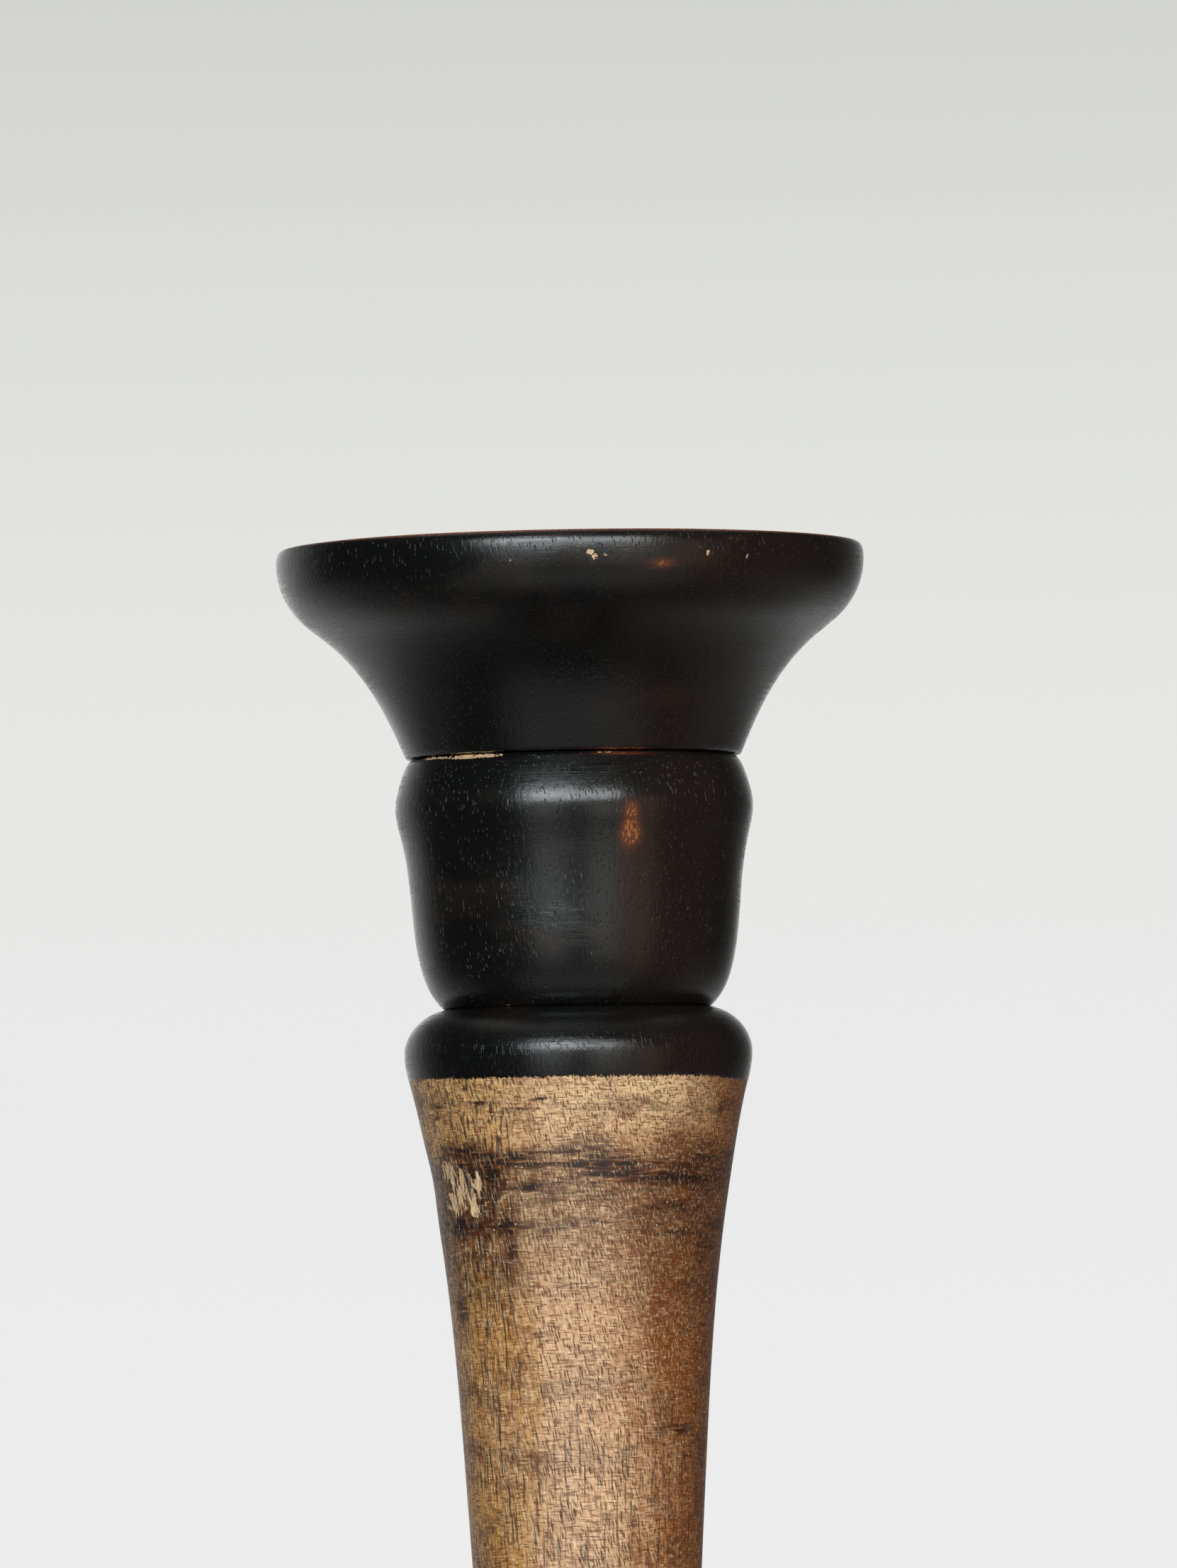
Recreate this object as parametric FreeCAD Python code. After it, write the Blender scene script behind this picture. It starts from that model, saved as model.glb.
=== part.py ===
"""Turned wooden dip pen holder.

A flared, ebonised cup stands on a pear-shaped collar, a long waisted stem and a spreading foot.
A brass liner hangs in a well that runs down through the cup and the collar into the top of the
stem, and lifts out for cleaning. A steel tie rod holds the foot to the stem. Millimetres, +Z up,
with the origin at the centre of the face that the holder stands on.
"""
import FreeCAD
import Part

import math
import os

from FreeCAD import Vector

# Heights of the joints between the turned pieces, from the table up.
TOTAL_HEIGHT = 300.0
BASE_PAD_THICKNESS = 2.0
FOOT_TOP = 34.0
STEM_TOP = 227.8
COLLAR_TOP = 267.0

# Radius of each turned piece where it is widest or narrowest, and the height of that place.
CUP_RADIUS = 46.0
CUP_WIDEST = 297.8
COLLAR_RADIUS = 28.0
COLLAR_WIDEST = 259.2
SHOULDER_RADIUS = 27.2
SHOULDER_WIDEST = 220.9
WAIST_RADIUS = 17.0
WAIST_HEIGHT = 108.0
CUFF_RADIUS = 26.6
CUFF_WIDEST = 41.4
FOOT_RADIUS = 52.0
FOOT_WIDEST = 6.6

# Radius of the outlines where two pieces meet.
CUP_SEAT_RADIUS = 26.2
COLLAR_TOP_RADIUS = 25.5
COLLAR_FOOT_RADIUS = 20.8
FOOT_BEAD_RADIUS = 22.4
FOOT_BEAD_HEIGHT = 3.6
FOOT_UNDERSIDE_RADIUS = 49.6
BASE_PAD_RADIUS = 49.0

# The rim's flat top, the bowl turned into the cup, and the well bored below it.
RIM_TOP_OUTER_RADIUS = 44.6
RIM_TOP_INNER_RADIUS = 42.2
BOWL_MOUTH_RADIUS = 40.6
BOWL_MOUTH = 298.0
BOWL_FLOOR = 279.5
BOWL_FLOOR_RADIUS = 21.5
WELL_RADIUS = 15.5
WELL_FLOOR = 188.0

# The brass liner that stands the pens, and the cork disc in its bottom.
LINER_OUTER_RADIUS = 15.2
LINER_WALL = 0.8
LINER_FLANGE_RADIUS = 18.6
LINER_BOTTOM = 203.0
FLANGE_THICKNESS = 0.8
FLANGE_REBATE = 1.0
FLANGE_GAP = 0.3
FLANGE_BEND_RADIUS = 0.6
WELL_PAD_RADIUS = 12.2
WELL_PAD_THICKNESS = 2.0
LINER_CORNER_RADIUS = WELL_PAD_THICKNESS

# Spigots: a turned ring under a piece, glued into a ring-shaped seat in the piece below.
CUP_SPIGOT_RADIUS = 19.5
COLLAR_SPIGOT_RADIUS = 18.5
SPIGOT_LENGTH = 5.8
SEAT_DEPTH = 6.0
GLUE_GAP = 0.1

# M8 tie rod with a washer and a nut at each end.
ROD_RADIUS = 4.0
THREAD_PITCH = 1.25
THREAD_DEPTH = 0.65
THREADED_LENGTH = 20.0
ROD_TOP = 198.0
ROD_BOTTOM = 4.0
ROD_HOLE_RADIUS = 4.5
NUT_ACROSS_FLATS = 13.0
NUT_HEIGHT = 6.5
NUT_CHAMFER_ANGLE = 30.0
NUT_BORE_GAP = 0.05
WASHER_RADIUS = 8.0
WASHER_THICKNESS = 1.6
FOOT_COUNTERBORE_RADIUS = 12.0
FOOT_COUNTERBORE_TOP = 13.0

# Hardwood dowels that stop the foot turning on the stem.
DOWEL_RADIUS = 2.5
DOWEL_CIRCLE_RADIUS = 12.5
DOWEL_HALF_LENGTH = 8.0
DOWEL_END_GAP = 0.5
DOWEL_CHAMFER = 0.4

AXIS = Vector(0, 0, 1)


def point(radius, height):
    """A point of a half section, in the XZ plane."""
    return Vector(radius, 0, height)


def curve(points, start, end):
    """A smooth edge through the points, leaving along start and arriving along end."""
    spline = Part.BSplineCurve()
    spline.interpolate(
        Points=[point(r, z) for r, z in points],
        InitialTangent=point(*start),
        FinalTangent=point(*end),
    )
    return spline.toShape()


def arc(start, middle, end):
    """A circular edge through three points."""
    return Part.Arc(point(*start), point(*middle), point(*end)).toShape()


def straight(*points):
    """Straight edges from each point to the next."""
    places = [point(r, z) for r, z in points]
    return [Part.LineSegment(a, b).toShape() for a, b in zip(places, places[1:])]


def turned(edges):
    """The solid that a closed half section sweeps out on the lathe."""
    face = Part.Face(Part.Wire(edges))
    return face.revolve(Vector(0, 0, 0), AXIS, 360)


def cup_outline():
    """Outside of the cup, from its seat on the collar up to the rim."""
    flare = curve(
        [
            (CUP_SEAT_RADIUS, COLLAR_TOP),
            (28.5, 272.4),
            (32.3, 279.1),
            (38.3, 285.7),
            (42.4, 289.1),
            (45.2, 293.4),
            (CUP_RADIUS, CUP_WIDEST),
        ],
        (0.38, 1.0),
        (0.0, 1.0),
    )
    lip = curve(
        [(CUP_RADIUS, CUP_WIDEST), (45.3, 299.85), (RIM_TOP_OUTER_RADIUS, TOTAL_HEIGHT)],
        (0.0, 1.0),
        (-1.0, 0.0),
    )
    return [flare, lip]


def bowl_outline():
    """Inside of the cup, from the top of the rim down to the flat floor around the liner."""
    inner_lip = curve(
        [(RIM_TOP_INNER_RADIUS, TOTAL_HEIGHT), (41.2, 299.4), (BOWL_MOUTH_RADIUS, BOWL_MOUTH)],
        (-1.0, 0.0),
        (-0.25, -1.0),
    )
    bowl = curve(
        [
            (BOWL_MOUTH_RADIUS, BOWL_MOUTH),
            (38.0, 290.6),
            (33.2, 284.6),
            (27.5, 280.9),
            (BOWL_FLOOR_RADIUS, BOWL_FLOOR),
        ],
        (-0.25, -1.0),
        (-1.0, 0.0),
    )
    return [inner_lip, bowl]


def flared_cup():
    """Flared cup with its bowl, the rebate for the liner's flange and a spigot underneath."""
    spigot_bottom = COLLAR_TOP - SPIGOT_LENGTH
    rebate_floor = BOWL_FLOOR - FLANGE_REBATE
    rebate_radius = LINER_FLANGE_RADIUS + FLANGE_GAP
    rim_top = straight((RIM_TOP_OUTER_RADIUS, TOTAL_HEIGHT), (RIM_TOP_INNER_RADIUS, TOTAL_HEIGHT))
    inside = straight(
        (BOWL_FLOOR_RADIUS, BOWL_FLOOR),
        (rebate_radius, BOWL_FLOOR),
        (rebate_radius, rebate_floor),
        (WELL_RADIUS, rebate_floor),
        (WELL_RADIUS, spigot_bottom),
        (CUP_SPIGOT_RADIUS, spigot_bottom),
        (CUP_SPIGOT_RADIUS, COLLAR_TOP),
        (CUP_SEAT_RADIUS, COLLAR_TOP),
    )
    return turned(cup_outline() + rim_top + bowl_outline() + inside)


def collar_outline():
    """Outside of the collar, from its top face down to the stem."""
    return curve(
        [
            (COLLAR_TOP_RADIUS, COLLAR_TOP),
            (27.2, 263.4),
            (COLLAR_RADIUS, COLLAR_WIDEST),
            (27.2, 254.7),
            (26.1, 248.2),
            (25.5, 241.4),
            (24.5, 234.9),
            (22.8, 230.3),
            (COLLAR_FOOT_RADIUS, STEM_TOP),
        ],
        (0.85, -1.0),
        (-1.0, -0.9),
    )


def collar():
    """Pear-shaped collar, bored for the well, with a seat on top and a spigot underneath."""
    seat_radius = CUP_SPIGOT_RADIUS + GLUE_GAP
    seat_floor = COLLAR_TOP - SEAT_DEPTH
    spigot_bottom = STEM_TOP - SPIGOT_LENGTH
    rest = straight(
        (COLLAR_FOOT_RADIUS, STEM_TOP),
        (COLLAR_SPIGOT_RADIUS, STEM_TOP),
        (COLLAR_SPIGOT_RADIUS, spigot_bottom),
        (WELL_RADIUS, spigot_bottom),
        (WELL_RADIUS, seat_floor),
        (seat_radius, seat_floor),
        (seat_radius, COLLAR_TOP),
        (COLLAR_TOP_RADIUS, COLLAR_TOP),
    )
    return turned([collar_outline()] + rest)


def stem_outline():
    """Outside of the stem: shoulder, long taper to the waist, flare and cuff."""
    shoulder = curve(
        [
            (COLLAR_FOOT_RADIUS, STEM_TOP),
            (23.6, 226.7),
            (25.9, 224.6),
            (SHOULDER_RADIUS, SHOULDER_WIDEST),
        ],
        (1.0, -0.2),
        (0.0, -1.0),
    )
    taper = curve(
        [
            (SHOULDER_RADIUS, SHOULDER_WIDEST),
            (26.1, 214.8),
            (23.9, 203.8),
            (22.2, 193.2),
            (20.4, 177.4),
            (18.8, 155.0),
            (WAIST_RADIUS, WAIST_HEIGHT),
            (19.2, 70.0),
            (23.4, 50.5),
            (CUFF_RADIUS, CUFF_WIDEST),
        ],
        (0.0, -1.0),
        (0.0, -1.0),
    )
    cuff = curve(
        [(CUFF_RADIUS, CUFF_WIDEST), (25.2, 37.0), (COLLAR_FOOT_RADIUS, FOOT_TOP)],
        (0.0, -1.0),
        (-1.0, -0.2),
    )
    return [shoulder, taper, cuff]


def dowel_places():
    """Centres of the dowels on their circle."""
    return [Vector(side * DOWEL_CIRCLE_RADIUS, 0, 0) for side in (-1, 1)]


def dowel_holes():
    """Blind holes for the dowels, across the joint between stem and foot."""
    half = DOWEL_HALF_LENGTH + DOWEL_END_GAP
    holes = [
        Part.makeCylinder(DOWEL_RADIUS + GLUE_GAP, 2 * half, place + AXIS * (FOOT_TOP - half))
        for place in dowel_places()
    ]
    return Part.makeCompound(holes)


def stem():
    """Stem in one piece of wood, with the seat for the collar, the well and the rod's hole."""
    seat_radius = COLLAR_SPIGOT_RADIUS + GLUE_GAP
    seat_floor = STEM_TOP - SEAT_DEPTH
    rest = straight(
        (COLLAR_FOOT_RADIUS, FOOT_TOP),
        (ROD_HOLE_RADIUS, FOOT_TOP),
        (ROD_HOLE_RADIUS, WELL_FLOOR),
        (WELL_RADIUS, WELL_FLOOR),
        (WELL_RADIUS, seat_floor),
        (seat_radius, seat_floor),
        (seat_radius, STEM_TOP),
        (COLLAR_FOOT_RADIUS, STEM_TOP),
    )
    return turned(stem_outline() + rest).cut(dowel_holes())


def foot_outline():
    """Outside of the foot: bead under the stem, ogee and rounded edge."""
    bead_bottom = FOOT_TOP - FOOT_BEAD_HEIGHT
    half_bead = FOOT_BEAD_HEIGHT / 2
    bead = arc(
        (FOOT_BEAD_RADIUS, FOOT_TOP),
        (FOOT_BEAD_RADIUS + half_bead, FOOT_TOP - half_bead),
        (FOOT_BEAD_RADIUS, bead_bottom),
    )
    ogee = curve(
        [
            (FOOT_BEAD_RADIUS, bead_bottom),
            (24.6, 25.0),
            (29.4, 19.4),
            (38.0, 14.8),
            (47.4, 11.6),
            (FOOT_RADIUS, FOOT_WIDEST),
        ],
        (0.2, -1.0),
        (0.0, -1.0),
    )
    edge = curve(
        [(FOOT_RADIUS, FOOT_WIDEST), (51.3, 3.2), (FOOT_UNDERSIDE_RADIUS, BASE_PAD_THICKNESS)],
        (0.0, -1.0),
        (-1.0, -0.25),
    )
    return [bead, ogee, edge]


def foot():
    """Spreading foot, counterbored from below for the washer and nut."""
    rest = straight(
        (FOOT_UNDERSIDE_RADIUS, BASE_PAD_THICKNESS),
        (FOOT_COUNTERBORE_RADIUS, BASE_PAD_THICKNESS),
        (FOOT_COUNTERBORE_RADIUS, FOOT_COUNTERBORE_TOP),
        (ROD_HOLE_RADIUS, FOOT_COUNTERBORE_TOP),
        (ROD_HOLE_RADIUS, FOOT_TOP),
        (FOOT_BEAD_RADIUS, FOOT_TOP),
    )
    return turned(foot_outline() + rest).cut(dowel_holes())


def well_liner():
    """Drawn brass tube with a closed bottom and a rolled flange that hangs in the cup."""
    inner = LINER_OUTER_RADIUS - LINER_WALL
    floor = LINER_BOTTOM + LINER_WALL
    flange_bottom = BOWL_FLOOR - FLANGE_REBATE
    flange_top = flange_bottom + FLANGE_THICKNESS
    roll = FLANGE_THICKNESS / 2
    roll_start = LINER_FLANGE_RADIUS - roll
    bend_end = inner + FLANGE_BEND_RADIUS
    bend_start = flange_top - FLANGE_BEND_RADIUS
    bend_depth = FLANGE_BEND_RADIUS * (1 - math.sqrt(0.5))
    corner_centre = inner - LINER_CORNER_RADIUS
    corner_top = floor + LINER_CORNER_RADIUS
    outer_corner = LINER_CORNER_RADIUS + LINER_WALL
    underside = straight((0, LINER_BOTTOM), (corner_centre, LINER_BOTTOM))
    outer_bend = arc(
        (corner_centre, LINER_BOTTOM),
        (corner_centre + outer_corner * math.sqrt(0.5), corner_top - outer_corner * math.sqrt(0.5)),
        (LINER_OUTER_RADIUS, corner_top),
    )
    outside = straight(
        (LINER_OUTER_RADIUS, corner_top),
        (LINER_OUTER_RADIUS, flange_bottom),
        (roll_start, flange_bottom),
    )
    rolled_edge = arc(
        (roll_start, flange_bottom),
        (LINER_FLANGE_RADIUS, flange_bottom + roll),
        (roll_start, flange_top),
    )
    flange_face = straight((roll_start, flange_top), (bend_end, flange_top))
    bend = arc(
        (bend_end, flange_top),
        (inner + bend_depth, flange_top - bend_depth),
        (inner, bend_start),
    )
    inside = straight((inner, bend_start), (inner, corner_top))
    inner_bend = arc(
        (inner, corner_top),
        (
            corner_centre + LINER_CORNER_RADIUS * math.sqrt(0.5),
            corner_top - LINER_CORNER_RADIUS * math.sqrt(0.5),
        ),
        (corner_centre, floor),
    )
    floor_face = straight((corner_centre, floor), (0, floor), (0, LINER_BOTTOM))
    return turned(
        underside
        + [outer_bend]
        + outside
        + [rolled_edge]
        + flange_face
        + [bend]
        + inside
        + [inner_bend]
        + floor_face
    )


def disc(radius, bottom, thickness):
    """Plain round disc lying on a height."""
    return Part.makeCylinder(radius, thickness, Vector(0, 0, bottom))


def threaded_end(start, direction):
    """Outline of one threaded stretch as ridges a pitch apart, going up (+1) or down (-1)."""
    turns = int(THREADED_LENGTH / THREAD_PITCH)
    ridges = []
    for turn in range(turns):
        root = start + direction * THREAD_PITCH * turn
        ridges.append((ROD_RADIUS - THREAD_DEPTH, root))
        ridges.append((ROD_RADIUS, root + direction * THREAD_PITCH / 2))
    return ridges


def tie_rod():
    """M8 rod, plain in the middle and threaded at both ends."""
    lower = threaded_end(ROD_BOTTOM, 1)
    upper = threaded_end(ROD_TOP, -1)
    lower_end = ROD_BOTTOM + THREADED_LENGTH
    upper_end = ROD_TOP - THREADED_LENGTH
    outline = (
        [(0, ROD_BOTTOM)]
        + lower
        + [(ROD_RADIUS, lower_end), (ROD_RADIUS, upper_end)]
        + list(reversed(upper))
        + [(0, ROD_TOP), (0, ROD_BOTTOM)]
    )
    return turned(straight(*outline))


def washer(bottom):
    """Flat washer lying on a height."""
    ring = disc(WASHER_RADIUS, bottom, WASHER_THICKNESS)
    return ring.cut(disc(ROD_HOLE_RADIUS, bottom, WASHER_THICKNESS))


def nut(bottom):
    """Hexagon nut with chamfered corners, standing on a height."""
    top = bottom + NUT_HEIGHT
    flat = NUT_ACROSS_FLATS / 2
    corner = NUT_ACROSS_FLATS / math.sqrt(3)
    slope = (corner - flat) * math.tan(math.radians(NUT_CHAMFER_ANGLE))
    angles = [k * math.pi / 3 for k in range(7)]
    corners = [Vector(corner * math.cos(a), corner * math.sin(a), bottom) for a in angles]
    prism = Part.Face(Part.makePolygon(corners)).extrude(AXIS * NUT_HEIGHT)
    blank = turned(
        straight(
            (0, bottom),
            (flat, bottom),
            (corner, bottom + slope),
            (corner, top - slope),
            (flat, top),
            (0, top),
            (0, bottom),
        )
    )
    bore = disc(ROD_RADIUS + NUT_BORE_GAP, bottom, NUT_HEIGHT)
    return prism.common(blank).cut(bore)


def dowel(place):
    """Hardwood dowel with chamfered ends, across the joint between stem and foot."""
    bottom = place + AXIS * (FOOT_TOP - DOWEL_HALF_LENGTH)
    pin = Part.makeCylinder(DOWEL_RADIUS, 2 * DOWEL_HALF_LENGTH, bottom)
    ends = [edge for edge in pin.Edges if isinstance(edge.Curve, Part.Circle)]
    return pin.makeChamfer(DOWEL_CHAMFER, ends)


def parts():
    """Every piece of the holder by name."""
    well_pad_bottom = LINER_BOTTOM + LINER_WALL
    foot_washer_bottom = FOOT_COUNTERBORE_TOP - WASHER_THICKNESS
    return {
        "flared_cup": flared_cup(),
        "collar": collar(),
        "stem": stem(),
        "foot": foot(),
        "well_liner": well_liner(),
        "well_pad": disc(WELL_PAD_RADIUS, well_pad_bottom, WELL_PAD_THICKNESS),
        "tie_rod": tie_rod(),
        "top_washer": washer(WELL_FLOOR),
        "top_nut": nut(WELL_FLOOR + WASHER_THICKNESS),
        "foot_washer": washer(foot_washer_bottom),
        "foot_nut": nut(foot_washer_bottom - NUT_HEIGHT),
        "foot_dowels": Part.makeCompound([dowel(place) for place in dowel_places()]),
        "base_pad": disc(BASE_PAD_RADIUS, 0, BASE_PAD_THICKNESS),
    }


def main():
    """Builds every piece and writes one STEP file for each."""
    os.makedirs("parts", exist_ok=True)
    for name, shape in parts().items():
        solids = shape.Solids
        if not solids or not shape.isValid():
            raise ValueError(f"{name} is not a valid solid")
        shape.exportStep(f"parts/{name}.step")
        print(name, len(solids), "solid(s)", round(shape.Volume / 1000, 2), "cm3")


main()
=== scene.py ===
"""Turned wooden dip pen holder: its looks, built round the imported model.

The turned pieces are lathed again with finer outlines, chips, dents and the edge of the black paint.
Every finish is made of nodes in the wood's own coordinates, so grain runs through a piece as it does
through a block of wood. Metres, +Z up; the azimuth of a place is counted from the front (-Y), in
degrees, towards +X.
"""

import logging
import math
from collections.abc import Callable
from dataclasses import dataclass, field
from enum import Enum
from functools import partial, reduce

import bmesh
import bpy
import numpy as np
from mathutils import Matrix, Vector, noise


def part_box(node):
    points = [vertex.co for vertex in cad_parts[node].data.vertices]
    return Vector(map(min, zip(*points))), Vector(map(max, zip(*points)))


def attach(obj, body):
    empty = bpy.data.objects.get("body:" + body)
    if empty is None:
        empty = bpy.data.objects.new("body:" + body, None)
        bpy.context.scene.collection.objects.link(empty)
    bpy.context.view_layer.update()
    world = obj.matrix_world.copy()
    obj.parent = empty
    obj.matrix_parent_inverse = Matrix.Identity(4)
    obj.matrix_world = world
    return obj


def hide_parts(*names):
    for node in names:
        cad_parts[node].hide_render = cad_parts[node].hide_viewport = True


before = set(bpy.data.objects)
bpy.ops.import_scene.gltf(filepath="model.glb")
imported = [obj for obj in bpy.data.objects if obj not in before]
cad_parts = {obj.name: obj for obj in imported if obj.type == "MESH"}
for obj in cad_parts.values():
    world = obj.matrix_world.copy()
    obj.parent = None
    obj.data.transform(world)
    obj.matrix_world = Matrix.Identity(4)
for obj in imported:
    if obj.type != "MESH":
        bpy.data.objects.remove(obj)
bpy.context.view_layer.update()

LOG = logging.getLogger("pen_holder")
MM = 0.001
UPWARD = (0.0, 1.0)
INWARD = (-1.0, 0.0)

Point = tuple[float, float]
Colour = tuple[float, float, float]
Size = float | tuple[float, float, float]
Socket = bpy.types.NodeSocket


class Body(Enum):
    """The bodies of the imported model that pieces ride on."""

    STAND = "stand"
    LINER = "liner"


class Slot(Enum):
    """Names of the record's material slots; each turned piece holds one, which nothing here reads."""

    BLACK = "ebonised_wood"
    BROWN = "brown_wood"
    BRASS = "aged_brass"
    CORK = "cork"


class Layer(Enum):
    """Values kept on a turned piece's points, which its finish reads."""

    BARE = "bare"
    RUBBED = "rubbed"
    SOOT = "soot"
    PAINT = "paint"


# ---------------------------------------------------------------- outlines


def smooth_line(points: list[Point], start: Point, end: Point, pitch: float = 0.05) -> np.ndarray:
    """Runs a cubic spline through a few points, as a turner's template would.

    Args:
        points: radius and height of each point, in millimetres.
        start: direction in which the line leaves the first point.
        end: direction in which it reaches the last point.
        pitch: distance between the points of the result, in millimetres.

    Returns:
        Radius and height along the line, in millimetres, one row per point.
    """
    knots = np.array(points, float)
    steps = np.linalg.norm(np.diff(knots, axis=0), axis=1)
    matrix = np.eye(len(knots))
    sides = np.zeros_like(knots)
    sides[0] = np.array(start) / np.linalg.norm(start)
    sides[-1] = np.array(end) / np.linalg.norm(end)
    for i in range(1, len(knots) - 1):
        before, after = steps[i - 1], steps[i]
        matrix[i, i - 1 : i + 2] = after, 2 * (before + after), before
        towards, onwards = knots[i] - knots[i - 1], knots[i + 1] - knots[i]
        sides[i] = 3 * (after / before * towards + before / after * onwards)
    slopes = np.linalg.solve(matrix, sides)
    rows = []
    for i, step in enumerate(steps):
        t = np.linspace(0, 1, max(3, math.ceil(step / pitch)), endpoint=False)[:, None]
        rows.append(
            (1 + 2 * t) * (1 - t) ** 2 * knots[i]
            + t * (1 - t) ** 2 * step * slopes[i]
            + t**2 * (3 - 2 * t) * knots[i + 1]
            - t**2 * (1 - t) * step * slopes[i + 1]
        )
    return np.vstack(rows + [knots[-1:]])


def respaced(line: np.ndarray, spacing: Callable[[float], float]) -> np.ndarray:
    """Places points along a line again, closer together where the piece needs finer rows.

    Args:
        line: radius and height of the points, in millimetres.
        spacing: distance to the next point, in millimetres, from a height in millimetres.

    Returns:
        The new points, with the line's own two ends.
    """
    run = np.concatenate([[0], np.cumsum(np.linalg.norm(np.diff(line, axis=0), axis=1))])
    places = [0.0]
    while places[-1] < run[-1]:
        height = float(np.interp(places[-1], run, line[:, 1]))
        places.append(places[-1] + spacing(height))
    share = np.array(places) * run[-1] / places[-1]
    return np.column_stack([np.interp(share, run, line[:, k]) for k in (0, 1)])


def eased_corner(
    corner: Point, before: Point | np.ndarray, after: Point | np.ndarray, radius: float
) -> np.ndarray:
    """Rounds a corner of a half section as sandpaper would.

    Args:
        corner: radius and height of the sharp corner, in millimetres.
        before: a point that the line comes from.
        after: a point that it goes on to.
        radius: distance from the corner at which the rounding starts.

    Returns:
        Points of the rounding, from the side of before to the side of after.
    """
    middle, start, end = (np.array(p, float) for p in (corner, before, after))
    start = middle + (start - middle) / np.linalg.norm(start - middle) * radius
    end = middle + (end - middle) / np.linalg.norm(end - middle) * radius
    t = np.linspace(0, 1, 6)[:, None]
    return (1 - t) ** 2 * start + 2 * t * (1 - t) * middle + t**2 * end


def noise_at(points: np.ndarray, size: Size, seed: float) -> np.ndarray:
    """Smooth noise from -1 to 1, the same on every run.

    Args:
        points: places in metres, one per row.
        size: size of a blotch of the noise in metres, or one size for each axis.
        seed: moves the noise, so that two uses differ.

    Returns:
        One value per place.
    """
    places = points / np.array(size) + seed
    return np.array([noise.noise(Vector(place)) for place in places])


def smooth_step(low: float, high: float, value: np.ndarray) -> np.ndarray:
    """Rises smoothly from 0 at low to 1 at high."""
    t = np.clip((value - low) / (high - low), 0, 1)
    return t * t * (3 - 2 * t)


# ---------------------------------------------------------------- wear


@dataclass(frozen=True)
class Mark:
    """A chipped, rubbed or sooty place on a turned face. Sizes are in millimetres."""

    azimuth: float
    height: float
    half_width: float
    half_height: float
    strength: float = 1.0

    def amount(self, azimuth: np.ndarray, radius: np.ndarray, height: np.ndarray) -> np.ndarray:
        """How strongly the mark shows at each point.

        Args:
            azimuth: azimuths of the points, in degrees.
            radius: their distances from the turning axis, in millimetres.
            height: their heights, in millimetres.

        Returns:
            The strength at the mark's centre, falling to 0 around it.
        """
        turn = (azimuth - self.azimuth + 180) % 360 - 180
        across = np.radians(turn) * radius / self.half_width
        along = (height - self.height) / self.half_height
        return self.strength * np.exp(-(across**2) - along**2)


@dataclass
class Surface:
    """The points of a turned piece while it is being worn: grids of rows by segments."""

    places: np.ndarray
    outward: np.ndarray
    azimuth: np.ndarray
    radius: np.ndarray
    height: np.ndarray
    layers: dict[Layer, np.ndarray] = field(default_factory=dict)

    def push(self, depth: np.ndarray) -> None:
        """Moves each point inward by a depth in millimetres."""
        self.places = self.places - self.outward * (depth * MM)[..., None]

    def noise(self, size: Size, seed: float) -> np.ndarray:
        """Smooth noise at every point; the size is in millimetres."""
        flat = self.places.reshape(-1, 3)
        return noise_at(flat, np.array(size) * MM, seed).reshape(self.radius.shape)

    def marked(self, *marks: Mark) -> np.ndarray:
        """The marks' amounts added up at every point."""
        amounts = [mark.amount(self.azimuth, self.radius, self.height) for mark in marks]
        return np.sum(amounts, axis=0)

    def chip(self, bare: np.ndarray, depth: float, size: float, seed: float) -> None:
        """Breaks the paint and a little wood away where the piece is marked bare.

        Args:
            bare: the marks' amounts at every point.
            depth: depth of a chip, in millimetres.
            size: size of the bites out of its outline, in millimetres.
            seed: moves the bites.
        """
        ragged = 0.8 + 0.5 * self.noise(size, seed)
        self.push(depth * smooth_step(0.45, 0.8, bare * ragged))

    def blunt(self, edge: float, where: np.ndarray, depth: float, size: float, seed: float) -> None:
        """Wears a turned edge round, more in some places than in others.

        Args:
            edge: height of the edge, in millimetres.
            where: the points that may wear.
            depth: mean depth of the wear, in millimetres.
            size: distance over which it changes, in millimetres.
            seed: moves the changes.
        """
        near = np.exp(-(((self.height - edge) / 0.5) ** 2)) * where
        self.push(depth * near * (1 + self.noise(size, seed)))

    def ripple(self, where: np.ndarray, depth: float, size: Size, seed: float) -> None:
        """Leaves long shallow waves at some points; sizes are in millimetres."""
        self.push(np.where(where, depth * self.noise(size, seed), 0.0))


# ---------------------------------------------------------------- lathe


def new_piece(name: str, points: list[list[float]], faces: list[tuple[int, ...]]) -> bpy.types.Object:
    """Makes a smooth mesh object and adds it to the scene.

    Args:
        name: the object's name.
        points: places of its points, in metres.
        faces: corner numbers of its faces.

    Returns:
        The new object.
    """
    mesh = bpy.data.meshes.new(name)
    mesh.from_pydata(points, [], faces)
    mesh.polygons.foreach_set("use_smooth", [True] * len(mesh.polygons))
    piece = bpy.data.objects.new(name, mesh)
    bpy.context.scene.collection.objects.link(piece)
    return piece


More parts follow.
